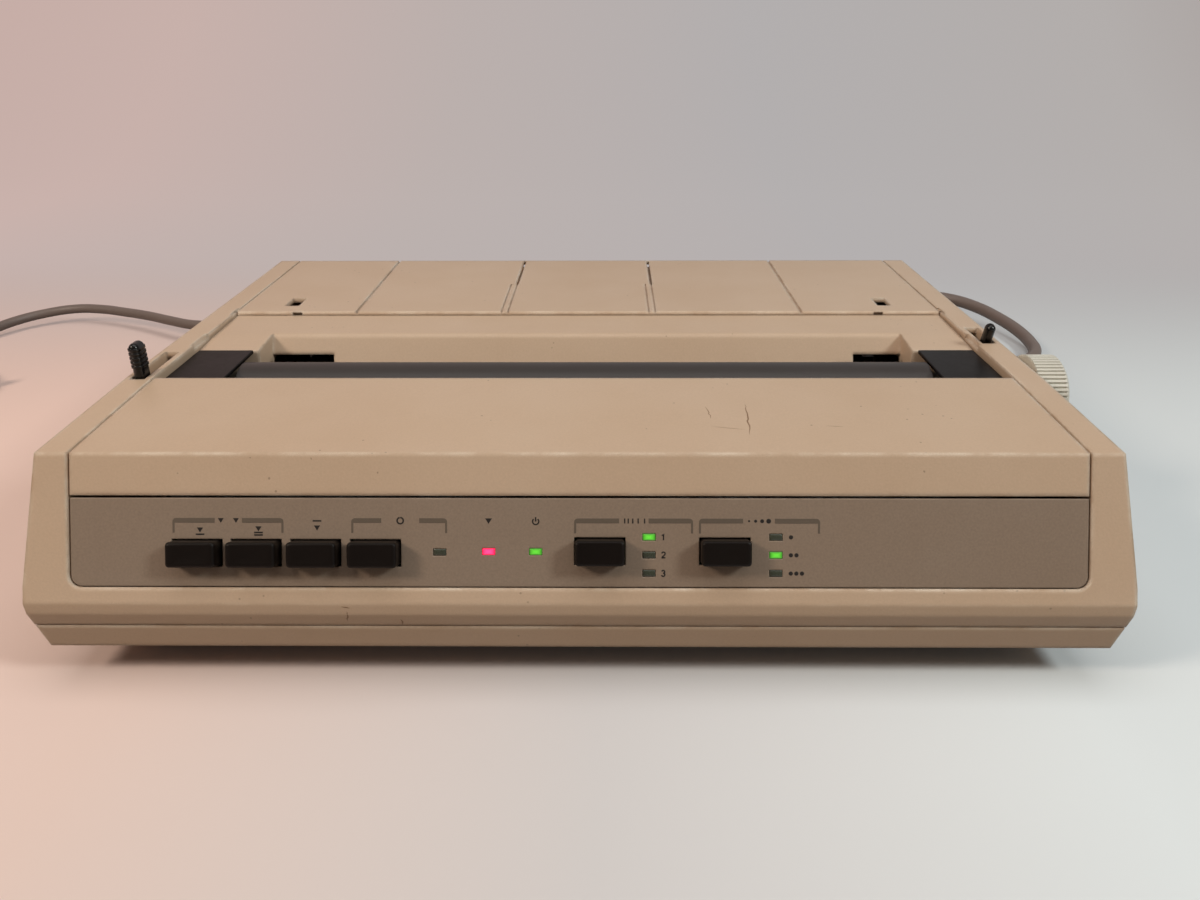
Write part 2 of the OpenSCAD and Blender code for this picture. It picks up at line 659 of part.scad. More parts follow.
module panel_board() color([0.16, 0.36, 0.20]) on_mid() {
    face_block((board_x0 + board_x1) / 2, board_s, board_x1 - board_x0, board_s_h,
        -board_h - board_t, -board_h);
    for (i = [0 : 5]) face_block(button_x[i], button_row[i], 6, 6, -board_h - 0.1, -switch_top);
}

frame_top = body_h - 4.2;
base_lip_z = rod_z + 4;

module mechanism_base() color([0.62, 0.62, 0.60]) on_mid() difference() {
    union() {
        block(-frame_x0, frame_x0, base_y0, base_y1, base_z0, base_z1);
        both_sides() block(frame_x0 - 1.5, frame_x0, base_y0 + 4, platen_y + 6, base_z0, base_z0 + 6);
        block(-frame_x0 + 4, frame_x0 - 4, base_y0, base_y0 + 1.5, base_z0, base_lip_z);
        block(-frame_x0 + 4, frame_x0 - 4, base_y0, base_y0 + 8, base_lip_z - 1.5, base_lip_z);
        rod_along_z(-pulley_x, belt_y, base_z1 - 0.5, belt_z + belt_h + 1.5, 2);
    }
    block(-frame_x0 - 1, -frame_x0 + 29.4, base_y1 - 26, base_y1 + 1, base_z0 - 1, base_z1 + 10);
    rod_along_z(pulley_x, belt_y, base_z0 - 1, base_z1 + 1, 6);
    for (p = post_at) rod_along_z(p[0], p[1], base_z0 - 1, base_z1 + 1, screw_r + 0.1);
    for (x = [-80 : 40 : 80]) block(x - 12, x + 12, base_y0 + 30, base_y0 + 60, base_z0 - 1, base_z1 + 1);
}

module side_frame_outline() polygon([
    [base_y0, base_z0],
    [base_y0, rod_z + 9],
    [rod_y - 8, rod_z + 14],
    [bail_y - 6, bail_z + 14],
    [platen_y - 17, frame_top],
    [deck_front_y - 2.2, frame_top],
    [deck_front_y - 2.2, chute_z0 - 0.4],
    [tractor_y + 10, chute_z0 - 0.4],
    [tractor_y + 12, base_z0 - 6],
    [pinion_y - 18, base_z0 - 6],
    [pinion_y - 18, base_z0]
]);

module side_frame_holes(x0, x1) {
    rod_along_x(x0, x1, platen_y, platen_z, shaft_r + run_gap);
    rod_along_x(x0, x1, bail_y, bail_z, bail_shaft_r + run_gap);
    rod_along_x(x0, x1, press_y, press_z, press_pin_r + run_gap);
    rod_along_x(x0, x1, tractor_y, tractor_z, tractor_shaft_r + run_gap);
    rod_along_x(x0, x1, rod_y, rod_z, rod_r);
}

bail_shaft_r = 2.5;
press_pin_r = 2.5;
tractor_shaft_r = 3;
idler_pin_r = 3;

module left_side_frame() color([0.66, 0.66, 0.64]) on_mid() {
    difference() {
        along_x(-frame_x1, -frame_x0) side_frame_outline();
        side_frame_holes(-frame_x1 - 1, -frame_x0 + 1);
        rod_along_x(-frame_x1 - 1, -frame_x0 + 1, pinion_y, pinion_z, pinion_pitch + 2);
    }
    rod_along_x(gear_x0 - 1, -frame_x1 + 0.4, idler_y, idler_z, idler_pin_r);
}

module right_side_frame() color([0.66, 0.66, 0.64]) on_mid() difference() {
    union() {
        along_x(frame_x0, frame_x1) side_frame_outline();
        rod_along_x(frame_x1 - 0.5, frame_x1 + 11, press_y, press_z, press_pin_r + 2.5);
    }
    side_frame_holes(frame_x0 - 1, frame_x1 + 1);
    rod_along_x(frame_x0 - 1, frame_x1 + 12, press_y, press_z, press_pin_r + run_gap);
}

cap_t = 1.6;
cap_y0 = lid_rear_y + 1.6;

module end_covers() color([0.11, 0.10, 0.10]) on_mid() both_sides() {
    block(end_x + 0.6, cover_x - 0.4, cap_y0, deck_front_y - 0.6, frame_top, frame_top + cap_t);
    block(cover_x - 2.4, cover_x - 0.4, cap_y0, deck_front_y - 0.6, frame_top - 5, frame_top + 1);
}

// Outline of a gear whose tooth faces are straight
module gear_outline(teeth) {
    pitch = teeth * gear_m / 2;
    tip = pitch + 0.9 * gear_m;
    root = pitch - 1.15 * gear_m;
    step = 360 / teeth;
    polygon([for (i = [0 : teeth - 1], p = [[root, -0.36], [pitch, -0.225], [tip, -0.1], [tip, 0.1],
        [pitch, 0.225], [root, 0.36]])
        [p[0] * cos((i + p[1]) * step), p[0] * sin((i + p[1]) * step)]]);
}

// A gear at y, z whose tooth at the given phase points along the angle
module gear(teeth, y, z, bore, angle, phase) difference() {
    translate([gear_x0, y, z]) rotate([90, 0, 90])
        rotate(angle + phase * 360 / teeth) linear_extrude(gear_w) gear_outline(teeth);
    rod_along_x(gear_x0 - 1, gear_x1 + 1, y, z, bore);
}

module platen_roller() color([0.13, 0.13, 0.14]) on_mid() difference() {
    rod_along_x(-end_x, end_x, platen_y, platen_z, platen_r);
    rod_along_x(-end_x - 1, end_x + 1, platen_y, platen_z, shaft_r);
}

module platen_shaft() color([0.75, 0.75, 0.76]) on_mid()
    rod_along_x(gear_x0 - 2, knob_x1 - 8, platen_y, platen_z, shaft_r);

module platen_gear() color([0.88, 0.86, 0.78]) on_mid()
    gear(teeth_roll, platen_y, platen_z, shaft_r, train_drop, 0);

module idler_gear() color([0.90, 0.88, 0.80]) on_mid()
    gear(teeth_idler, idler_y, idler_z, idler_pin_r + run_gap, train_drop + 180, 0.5);

// The idler's phase where it meets the pinion and the tractor gear
pinion_phase = 0.5 - (0.5 + teeth_idler / 2) % 1;
tractor_phase = 0.5 + ((tractor_rise - train_drop - 180) * teeth_idler / 360 - 0.5) % 1;

module feed_pinion() color([0.80, 0.72, 0.45]) on_mid() {
    gear(teeth_pinion, pinion_y, pinion_z, motor_pin_r, train_drop + 180, pinion_phase);
    rod_along_x(gear_x0 - 1, -frame_x0 + 9, pinion_y, pinion_z, motor_pin_r);
}

motor_pin_r = 2;
feed_motor_boss = 1.5;
feed_motor_r = norm([tractor_y - pinion_y, tractor_z - pinion_z]) - tractor_shaft_r - 0.6;
feed_motor_l = frame_x0 - tractor_x - tractor_w / 2 - feed_motor_boss - 0.6;

module feed_motor() color([0.20, 0.20, 0.21]) on_mid() difference() {
    union() {
        rod_along_x(-frame_x0, -frame_x0 + feed_motor_l, pinion_y, pinion_z, feed_motor_r);
        rod_along_x(-frame_x0 + feed_motor_l - 1, -frame_x0 + feed_motor_l + feed_motor_boss,
            pinion_y, pinion_z, 5);
    }
    rod_along_x(-frame_x0 - 1, -frame_x0 + 10, pinion_y, pinion_z, motor_pin_r + run_gap);
}

module tractor_shaft() color([0.75, 0.75, 0.76]) on_mid()
    rod_along_x(gear_x0 - 1.5, frame_x1 + 2, tractor_y, tractor_z, tractor_shaft_r);

module tractor_wheels() color([0.16, 0.16, 0.17]) on_mid() {
    gear(teeth_roll, tractor_y, tractor_z, tractor_shaft_r, tractor_rise + 180, tractor_phase);
    for (x = [-tractor_x, tractor_x]) difference() {
        union() {
            rod_along_x(x - tractor_w / 2, x + tractor_w / 2, tractor_y, tractor_z, tractor_r);
            for (a = [0 : 60 : 300]) translate([x, tractor_y, tractor_z]) rotate([a + 12, 0, 0])
                translate([0, 0, tractor_r - 0.8]) cylinder(h = 3.2, r1 = 1.8, r2 = 1, $fn = 24);
        }
        rod_along_x(x - tractor_w, x + tractor_w, tractor_y, tractor_z, tractor_shaft_r);
    }
}

guide_r = platen_r + 1.6;
guide_t = 1.2;
guide_a0 = 231;
guide_a1 = 325;
roller_x = [-100, -40, 40, 100];
roller_w = 24;
roller_angle = 250;
roller_dist = platen_r + nip_gap + press_r;
roller_y = platen_y + roller_dist * cos(roller_angle);
roller_z = platen_z + roller_dist * sin(roller_angle);

function arc_points(r, a0, a1, steps) = [for (i = [0 : steps])
    let (a = a0 + (a1 - a0) * i / steps) [platen_y + r * cos(a), platen_z + r * sin(a)]];

module paper_guide() color([0.14, 0.14, 0.15]) on_mid() difference() {
    along_x(-frame_x0, frame_x0) polygon(concat(
        arc_points(guide_r, guide_a0, guide_a1, 16),
        [[chute_y - 3.9, chute_z0 - 5.2], [chute_y - 3.3, chute_z0 - 6.2]],
        arc_points(guide_r + guide_t, guide_a1, guide_a0, 16)));
    for (x = roller_x) block(x - roller_w / 2 - 4.6, x + roller_w / 2 + 4.6, platen_y - 15, platen_y + 1.5,
        platen_z - 20, platen_z);
}

arm_x = [for (x = roller_x, k = [-1, 1]) x + k * (roller_w / 2 + 3)];
roller_pin_r = 1.5;

module pressure_frame() color([0.60, 0.60, 0.58]) on_mid() difference() {
    union() {
        rod_along_x(-frame_x1 + 0.2, frame_x1 - 0.2, press_y, press_z, press_pin_r);
        for (x = arm_x) along_x(x - 0.8, x + 0.8) polygon([
            [press_y + 3, press_z - 3],
            [press_y + 3, press_z + 2],
            [roller_y + 2, roller_z + 1.5],
            [roller_y - 3, roller_z + 1.5],
            [roller_y - 3, roller_z - 3],
            [roller_y + 2, roller_z - 4]
        ]);
        block(arm_x[0], arm_x[7], press_y - 9, press_y - 5, press_z - 2, press_z + 1.5);
    }
    rod_along_x(arm_x[0] - 2, arm_x[7] + 2, roller_y, roller_z, roller_pin_r + run_gap);
}

module pressure_rollers() color([0.15, 0.15, 0.15]) on_mid() {
    rod_along_x(arm_x[0] - 3, arm_x[7] + 3, roller_y, roller_z, roller_pin_r);
    for (x = roller_x) rod_along_x(x - roller_w / 2, x + roller_w / 2, roller_y, roller_z, press_r);
}

module guide_rod() color([0.80, 0.80, 0.82]) on_mid()
    rod_along_x(-frame_x1 - 1.5, frame_x1 + 1.5, rod_y, rod_z, rod_r);

jaw_gap = 0.3;
belt_t = 1.4;
belt_run_y = belt_y - pulley_r - belt_t;
jaw_y = belt_run_y + belt_t + jaw_gap;
head_z = platen_z - 5.6;
head_r = 11.5;
head_y0 = rod_y - 22;
head_l = 30;
head_y1 = head_y0 + head_l;
head_fins = 6;
jaw_t = 1.8;
nose_y = platen_y - platen_r - 1;
cw = carriage_w / 2;

module carriage() color([0.17, 0.17, 0.18]) on_mid() difference() {
    union() {
        block(-cw, cw, rod_y - 10, rod_y + 10, rod_z - 7, rod_z + 6.5);
        block(-cw + 8, cw - 8, base_y0 + 2, rod_y - 9, base_lip_z + 0.3, base_lip_z + 3.3);
        block(-19, 19, head_y0 - 1, head_y1, base_lip_z + 0.3, head_z - 4);
        block(-8, 8, rod_y + 9, jaw_y + jaw_t + 0.2, belt_z + belt_h + jaw_gap, rod_z + 2);
        for (y = [belt_run_y - jaw_gap - jaw_t, jaw_y]) block(-8, 8, y, y + jaw_t, belt_z - 0.6, rod_z);
        for (x = [-cw + 5, cw - 5]) rod_along_z(x, rod_y, rod_z + 6, ribbon_z0, 3);
    }
    rod_along_x(-cw - 1, cw + 1, rod_y, rod_z, rod_r + run_gap);
    translate([0, head_y0 - 2, head_z]) rotate([-90, 0, 0]) cylinder(h = 2 * head_l, r = head_r);
}

module print_head() color([0.55, 0.55, 0.56]) on_mid() {
    translate([0, head_y0, head_z]) rotate([-90, 0, 0]) cylinder(h = 3, r = head_r);
    for (k = [0 : head_fins - 1]) translate([0, head_y0 + 5 + 4 * k, head_z]) rotate([-90, 0, 0])
        cylinder(h = 2, r = head_r);
    translate([0, head_y0, head_z]) rotate([-90, 0, 0]) cylinder(h = head_y1 - head_y0, r = head_r - 2.5);
    along_x(-4, 4) polygon([
        [head_y1 - 2, head_z - 7],
        [head_y1 - 2, head_z + 7],
        [head_y1 + 8, head_z + 5],
        [nose_y, head_z + 3.6],
        [nose_y, head_z - 3.6],
        [head_y1 + 8, head_z - 5]
    ]);
}

ribbon_w = 36;
ribbon_z0 = platen_z - 3.1;
ribbon_z1 = ribbon_z0 + 11.5;
ribbon_arm_z = ribbon_z0 + 5.2;

module ribbon_cartridge() color([0.09, 0.09, 0.10]) on_mid() {
    difference() {
        block(-ribbon_w, ribbon_w, rod_y - 30, rod_y + 8, ribbon_z0, ribbon_z1);
        block(-head_r - 1.5, head_r + 1.5, head_y0 - 3, rod_y + 9, ribbon_z0 - 1, ribbon_z1 - 2);
        block(-ribbon_w + 3, ribbon_w - 3, rod_y - 26, rod_y - 24.6, ribbon_z1 - 0.8, ribbon_z1 + 1);
    }
    for (k = [-1, 1]) {
        block(k * 15.75 - 1.75, k * 15.75 + 1.75, rod_y + 7, nose_y - 1, ribbon_z0, ribbon_arm_z);
        block(k * 15.75 - 1.75, k * 15.75 + 1.75, nose_y - 6, nose_y - 1, head_z - 3.5, ribbon_arm_z);
        block(k * 17.2 - 0.3, k * 17.2 + 0.3, nose_y - 2, nose_y + 0.7, head_z - 3.5, head_z + 3.5);
    }
    block(-17.2, 17.2, nose_y + 0.4, nose_y + 0.7, head_z - 3.5, head_z + 3.5);
    rod_along_z(-ribbon_w + 9, rod_y - 18, ribbon_z1 - 0.5, ribbon_z1 + 1.4, 5);
}

module belt_outline(r) {
    translate([-pulley_x, -r]) square([2 * pulley_x, 2 * r]);
    for (x = [-pulley_x, pulley_x]) translate([x, 0]) circle(r);
}

module timing_belt() color([0.10, 0.10, 0.10]) on_mid() translate([0, belt_y, belt_z])
    linear_extrude(belt_h) difference() {
        belt_outline(pulley_r + belt_t);
        belt_outline(pulley_r);
    }

module pulley(x, bore) difference() {
    union() {
        rod_along_z(x, belt_y, belt_z - 0.8, belt_z + belt_h + 0.8, pulley_r - 0.3);
        rod_along_z(x, belt_y, belt_z - 0.9, belt_z - 0.4, pulley_r + 1.6);
    }
    rod_along_z(x, belt_y, belt_z - 2, belt_z + belt_h + 2, bore);
}

module drive_pulley() color([0.70, 0.66, 0.50]) on_mid() {
    pulley(pulley_x, motor_pin_r);
    rod_along_z(pulley_x, belt_y, base_z0 - 8, belt_z + belt_h + 1.8, motor_pin_r);
}

module idler_pulley() color([0.85, 0.84, 0.80]) on_mid() pulley(-pulley_x, 2 + run_gap);

module carriage_motor() color([0.20, 0.20, 0.21]) on_mid() difference() {
    union() {
        rod_along_z(pulley_x, belt_y, floor_z + 2.5, base_z0, 17);
        rod_along_z(pulley_x, belt_y, base_z0 - 0.5, base_z1 + 0.3, 5.6);
    }
    rod_along_z(pulley_x, belt_y, base_z0 - 9, base_z1 + 1, motor_pin_r + run_gap);
}

bail_base = norm([platen_y - bail_y, platen_z - bail_z]);
bail_roller_r = 3.6;
bail_nip = platen_r + nip_gap + bail_roller_r;
bail_on = atan2(platen_y - bail_y, platen_z - bail_z)
    - acos((bail_reach ^ 2 + bail_base ^ 2 - bail_nip ^ 2) / (2 * bail_reach * bail_base));
bail_rod_y = bail_y + bail_reach * sin(bail_on - bail_swing);
bail_rod_z = bail_z + bail_reach * cos(bail_on - bail_swing);
bail_rod_r = 1.8;
bail_roller_x = [-96, -32, 32, 96];
arm_x0 = frame_x0 - 3.6;

module bail_arms() color([0.70, 0.70, 0.70]) on_mid() {
    rod_along_x(-lever_x - lever_t / 2 + 0.5, frame_x1 + 1, bail_y, bail_z, bail_shaft_r);
    rod_along_x(-arm_x0 - 1.5, arm_x0 + 1.5, bail_rod_y, bail_rod_z, bail_rod_r);
    both_sides() along_x(arm_x0, arm_x0 + 1.5) polygon([
        [bail_y - 4, bail_z - 3.5],
        [bail_y + 4, bail_z - 3.5],
        [bail_rod_y + 3, bail_rod_z + 2],
        [bail_rod_y, bail_rod_z + 3],
        [bail_rod_y - 3, bail_rod_z + 2]
    ]);
}

module bail_rollers() color([0.12, 0.12, 0.12]) on_mid() for (x = bail_roller_x) difference() {
    rod_along_x(x - 5, x + 5, bail_rod_y, bail_rod_z, bail_roller_r);
    rod_along_x(x - 6, x + 6, bail_rod_y, bail_rod_z, bail_rod_r + run_gap);
}

lever_top = body_h + 13.4;
rib_out = 0.35;
rib_h = 0.9;
rib_pitch = 1.7;

module stadium(w, d, z0, z1) {
    for (y = [(w - d) / 2, (d - w) / 2]) rod_along_z(0, y, z0, z1, w / 2);
    block(-w / 2, w / 2, (w - d) / 2, (d - w) / 2, z0, z1);
}

// Handle of a lever, w wide and d deep with rounded sides, domed at z1
module grip(w, d, z0, z1) {
    stadium(w, d, z0, z1 - w / 2);
    for (y = [(w - d) / 2, (d - w) / 2]) translate([0, y, z1 - w / 2]) sphere(w / 2, $fn = 24);
    translate([0, (d - w) / 2, z1 - w / 2]) rotate([90, 0, 0]) cylinder(h = d - w, r = w / 2, $fn = 24);
}

module bail_lever() color([0.05, 0.05, 0.05]) on_mid() difference() {
    union() {
        along_x(-lever_x - lever_t / 2, -lever_x + lever_t / 2) polygon([
            [bail_y - 4, bail_z - 4],
            [bail_y + 5, bail_z - 4],
            [lever_y0 + lever_d, bail_z + 8],
            [lever_y0 + lever_d, body_h - 8],
            [lever_y0, body_h - 8],
            [lever_y0, bail_z + 8],
            [bail_y - 4, bail_z + 4]
        ]);
        translate([-lever_x, lever_y0 + lever_d / 2, 0]) {
            grip(lever_t, lever_d, body_h - 9, lever_top);
            for (k = [0 : 4]) stadium(lever_t + 2 * rib_out, lever_d + 2 * rib_out,
                body_h + 3.8 + rib_pitch * k, body_h + 3.8 + rib_pitch * k + rib_h);
        }
    }
    rod_along_x(-lever_x - 4, -lever_x + 4, bail_y, bail_z, bail_shaft_r);
}

release_w = 4.2;
release_len = 9.4;

module release_lever() color([0.05, 0.05, 0.05]) on_mid() {
    along_x(lever_x - release_w / 2, lever_x + release_w / 2) polygon([
        [press_y - 4, press_z - 4],
        [press_y + 4, press_z - 4],
        [release_y + 5, body_h - 18],
        [release_y + 4.8, body_h - 9],
        [release_y + 3.6, body_h - 6],
        [release_y - 1, body_h - 6],
        [release_y - 0.6, body_h - 18],
        [press_y - 4, press_z + 4]
    ]);
    translate([lever_x, release_y, body_h - 1]) rotate([release_lean, 0, 0])
        grip(release_w, release_d, -7, release_len);
    rod_along_x(frame_x1 + 0.4, lever_x, press_y, press_z, press_pin_r);
}

module platen_knob() color([0.86, 0.84, 0.76]) on_mid() difference() {
    union() {
        translate([knob_x0, platen_y, platen_z]) rotate([90, 0, 90]) linear_extrude(knob_w - 1.6)
            polygon([for (i = [0 : knob_ribs - 1], p = [[knob_r, -0.28], [knob_r, 0.28], [knob_r - 0.9, 0.4],
                [knob_r - 0.9, 0.6]])
                [p[0] * cos((i + p[1]) * 360 / knob_ribs), p[0] * sin((i + p[1]) * 360 / knob_ribs)]]);
        translate([knob_x1 - 2, platen_y, platen_z]) rotate([0, 90, 0]) rotate_extrude()
            polygon([[0, 0], [knob_r - 0.5, 0], [knob_r - 0.8, 0.9], [knob_r - 1.5, 1.6],
                [knob_r - 3, 2], [knob_r - 6, 2], [knob_r - 7, 1.1], [0, 1.1]]);
    }
    rod_along_x(knob_x0 - 1, knob_x1 - 8, platen_y, platen_z, shaft_r);
}

module power_transformer() color([0.45, 0.40, 0.33]) on_mid() {
    cy = (trafo_y[0] + trafo_y[1]) / 2;
    block(trafo_x[0], trafo_x[1], trafo_y[0], trafo_y[1], floor_z + 2, floor_z + 3.5);
    block(trafo_x[0] + 8, trafo_x[1] - 8, cy - 10, cy + 10, floor_z + 3, floor_z + 48);
    block(trafo_x[0] + 17, trafo_x[1] - 17, trafo_y[0] + 2, trafo_y[1] - 2, floor_z + 12, floor_z + 39);
}

module main_board() color([0.14, 0.34, 0.18]) on_mid() difference() {
    block(board_x[0], board_x[1], board_y[0], board_y[1], board_z0, board_z1);
    for (x = board_post_x, y = board_post_y) rod_along_z(x, y, board_z0 - 1, board_z1 + 1, screw_r + 0.1);
}

chip_pitch = 24;
chip_w = 16;
sink_x = [board_x[1] - 66, board_x[1] - 12];
sink_y0 = board_y[0] + 42;
fin_t = 1.6;
fin_pitch = 4;

module board_components() color([0.13, 0.13, 0.14]) on_mid() {
    for (x = [0, 1, 2] * chip_pitch, y = [board_y[0] + 14, board_y[0] + 38])
        block(board_x[0] + 14 + x, board_x[0] + 14 + x + chip_w, y, y + 9, board_z1, board_z1 + 4);
    block(board_x[0] + 14, board_x[0] + 64, board_y[0] + 60, board_y[0] + 70, board_z1, board_z1 + 5);
    for (x = [board_x[1] - 20, board_x[1] - 40]) rod_along_z(x, board_y[0] + 20, board_z1, board_z1 + 26, 8);
    for (k = [0 : 4]) block(sink_x[0], sink_x[1], sink_y0 + fin_pitch * k, sink_y0 + fin_pitch * k + fin_t,
        board_z1 + 2, board_z1 + 24);
    block(sink_x[0], sink_x[1], sink_y0, sink_y0 + 4 * fin_pitch + fin_t, board_z1, board_z1 + 3);
}

socket_y0 = board_y[1] - 9;

module interface_socket() color([0.72, 0.72, 0.70]) on_mid() {
    block(socket_x - socket_w / 2, socket_x + socket_w / 2, socket_y0, rear_y, socket_z[0], socket_z[1]);
    block(socket_x - socket_w / 2, socket_x + socket_w / 2, socket_y0, board_y[1] - 1,
        board_z1, socket_z[0] + 1);
}

grip_l = 26.5;

module cord_grip() color([0.30, 0.28, 0.26]) on_mid() translate([cord_x, rear_y, cord_z]) rotate([-90, 0, 0])
    rotate_extrude() polygon([
        [mains_d / 2, -6],
        [grip_r + 1.4, -6],
        [grip_r + 1.4, -wall - 1],
        [grip_r - 0.3, -wall - 1],
        [grip_r - 0.3, 0.1],
        [grip_r + 1, 0.1],
        [grip_r + 1, 1.6],
        [mains_d / 2 + 2, 2.4],
        [mains_d / 2 + 0.9, grip_l],
        [mains_d / 2, grip_l]
    ]);

module power_switch() color([0.08, 0.08, 0.08]) on_mid() {
    along_x(switch_x - switch_w / 2, switch_x + switch_w / 2) translate([rocker_y, switch_z]) polygon([
        [-4, -7], [5.5, -7.3], [7.3, -5.6], [5, 0], [5.6, 7.2], [-4, 7]
    ]);
    rod_along_x(switch_x - switch_w / 2 - 2, switch_x + switch_w / 2 + 2, rocker_y, switch_z, pin_r);
}

// A tube of the given sides along a path, its first and last ring square to t0 and t1
module tube(path, r, sides, t0, t1) {
    last = len(path) - 1;
    rings = [for (i = [0 : last])
        let (t = i == 0 ? t0 : i == last ? t1 : path[i + 1] - path[i - 1],
            u = t / norm(t),
            side = cross(u, [0, 0, 1]) / norm(cross(u, [0, 0, 1])),
            up = cross(side, u))
        for (k = [0 : sides - 1])
            let (a = (k + 0.5) * 360 / sides)
            path[i] + r * (cos(a) * side + sin(a) * up)];
    walls = [for (i = [0 : last - 1], k = [0 : sides - 1])
        let (a = i * sides + k, b = i * sides + (k + 1) % sides)
        each [[a, b, a + sides], [b, b + sides, a + sides]]];
    e = last * sides;
    caps = [for (k = [1 : sides - 2]) each [[0, k + 1, k], [e, e + k, e + k + 1]]];
    polyhedron(rings, concat(walls, caps));
}

// Least gap between two passes of one tube, skipping neighbours along it
function least_gap(path, d, skip) = min([for (i = [0 : len(path) - skip - 1], j = [i + skip : len(path) - 1])
    norm(path[i] - path[j]) - d]);

// A coil wound in and out again in two layers, its first and last points one above the other
loop_steps = 24;
loop_gap = 0.5;
tie_t = 0.8;

function coil_point(t, turns, centre, r_out, d, a0, way) =
    let (half = turns / 2, pitch = d + loop_gap,
        r = r_out - pitch * (half - abs(t - half)),
        climb = min(1, max(0, (t - half + 0.25) * 2)))
    [centre[0] + r * cos(a0 + way * 360 * t), centre[1] + r * sin(a0 + way * 360 * t),
        d / 2 + tie_t + 0.1 + pitch * climb];

function coil_path(turns, centre, r_out, d, a0, way) = [for (i = [0 : turns * loop_steps])
    coil_point(i / loop_steps, turns, centre, r_out, d, a0, way)];

// Mains lead: from the grip behind the case, out to the left and round to its coil
mains_coil = [-415, 115];
mains_coil_r = 47.5;
mains_route = [
    [-118, 164, 33], [-118, 176, 33], [-121, 196, 31], [-131, 214, 28], [-150, 226, 25], [-175, 230, 22],
    [-202, 227, 19], [-230, 222, 17], [-252, 221, 15.5], [-274, 226, 14], [-296, 239, 13], [-317, 252, 12.5],
    [-339, 263, 12], [-361, 271, 12], [-383, 275, 11], [-403, 270, 9], [-417, 257, 7.5], [-425, 242, 6],
    [-431, 226, 5], [-439, 206, 4], [-448, 184, 3.6], [-456, 162, 3.8], [-461, 138, 4.1],
    [-462.5, 126, 4.15], [-462.5, 115, 4.15]
];
mains_tail = [[-462.5, 108, 11.1], [-462.5, 98, 11.4], [-462.5, 88, 12], [-462.5, 80, 12]];

// Interface cable: from its plug behind the case, round to the right and back to its coil
data_coil = [185, 240];
data_coil_r = 52;
data_route = [
    [60, 182, 33], [60, 194, 33], [61, 214, 31], [67, 236, 27], [79, 257, 23], [97, 276, 19], [119, 291, 16],
    [144, 302, 14], [171, 309, 13], [198, 312, 12.5], [225, 311, 12], [248, 306, 12], [266, 296, 12],
    [279, 279, 11], [288, 257, 9], [293, 231, 7], [293, 212, 5.5], [289, 195, 5], [279, 181, 4.6],
    [263, 174, 4.6], [245, 175, 4.7], [226, 181, 4.8], [207, 186, 4.9], [196, 188, 4.9], [185, 188, 4.9]
];
data_tail = [[176, 188, 13.3], [166, 188, 11.6], [156, 188, 9], [147, 188, 9]];

mains_coil_path = concat(coil_path(mains_turns, mains_coil, mains_coil_r, mains_d, 180, 1), mains_tail);
data_coil_path = concat(coil_path(data_turns, data_coil, data_coil_r, data_d, 270, -1), data_tail);
echo(mains_coil_gap = least_gap(mains_coil_path, mains_d, 12));
echo(data_coil_gap = least_gap(data_coil_path, data_d, 12));

module power_cord() color([0.52, 0.49, 0.46]) on_mid()
    tube(mains_route, mains_d / 2, 8, [0, 1, 0], [0, -1, 0]);

module power_cord_coil() color([0.52, 0.49, 0.46]) on_mid()
    tube(mains_coil_path, mains_d / 2, 6, [0, -1, 0], [0, -1, 0]);

module data_cable() color([0.50, 0.47, 0.44]) on_mid()
    tube(data_route, data_d / 2, 8, [0, 1, 0], [-1, 0, 0]);

module data_cable_coil() color([0.50, 0.47, 0.44]) on_mid()
    tube(data_coil_path, data_d / 2, 6, [-1, 0, 0], [-1, 0, 0]);

// Plug at the free end of the mains lead, its two blades and round pin pointing away from the cord
plug_y = mains_tail[3][1];
plug_z = mains_tail[3][2];
plug_w = 25;
plug_l = 34;

module mains_plug() color([0.40, 0.38, 0.36]) on_mid() translate([mains_route[24][0], plug_y, plug_z]) {
    rotate([90, 0, 0]) cylinder(h = 12, r1 = mains_d / 2 + 1, r2 = mains_d / 2 + 3.5);
    along_x(-plug_w / 2, plug_w / 2) polygon([
        [-10, -7], [-10, 7], [-16, 11], [-plug_l, 11], [-plug_l, -12], [-16, -12]
    ]);
    for (k = [-1, 1]) block(k * 6.35 - 0.75, k * 6.35 + 0.75, -plug_l - 17, -plug_l + 1, -1, 5.4);
    translate([0, -plug_l + 1, -6.5]) rotate([90, 0, 0]) cylinder(h = 19, r = 2.4);
}

hood_w = 62;
hood_t = 15;

module data_plug() color([0.62, 0.60, 0.56]) on_mid() {
    along_y(rear_y, rear_y + 8) translate([socket_x, cord_z]) square([hood_w, 11], center = true);
    translate([socket_x, 0, cord_z - hood_t / 2]) linear_extrude(hood_t) polygon([
        [-hood_w / 2 - 4, rear_y + 6], [hood_w / 2 + 4, rear_y + 6], [hood_w / 2 + 4, rear_y + 22],
        [12, rear_y + 38], [-12, rear_y + 38], [-hood_w / 2 - 4, rear_y + 22]
    ]);
    translate([socket_x, rear_y + 37, cord_z]) rotate([-90, 0, 0])
        cylinder(h = data_route[0][1] - rear_y - 37, r1 = data_d / 2 + 2.5, r2 = data_d / 2 + 1);
}

module data_connector() color([0.62, 0.60, 0.56]) on_mid()
    translate([data_tail[3][0], data_tail[3][1], data_tail[3][2]]) {
        rotate([0, -90, 0]) cylinder(h = 9, r1 = data_d / 2 + 1, r2 = data_d / 2 + 2.5);
        translate([0, 0, -data_tail[3][2]]) linear_extrude(16) polygon([
            [-8, -9], [-8, 9], [-20, 21], [-40, 27], [-40, -27], [-20, -21]
        ]);
        block(-46, -39, -19.5, 19.5, -5, 3.5);
    }

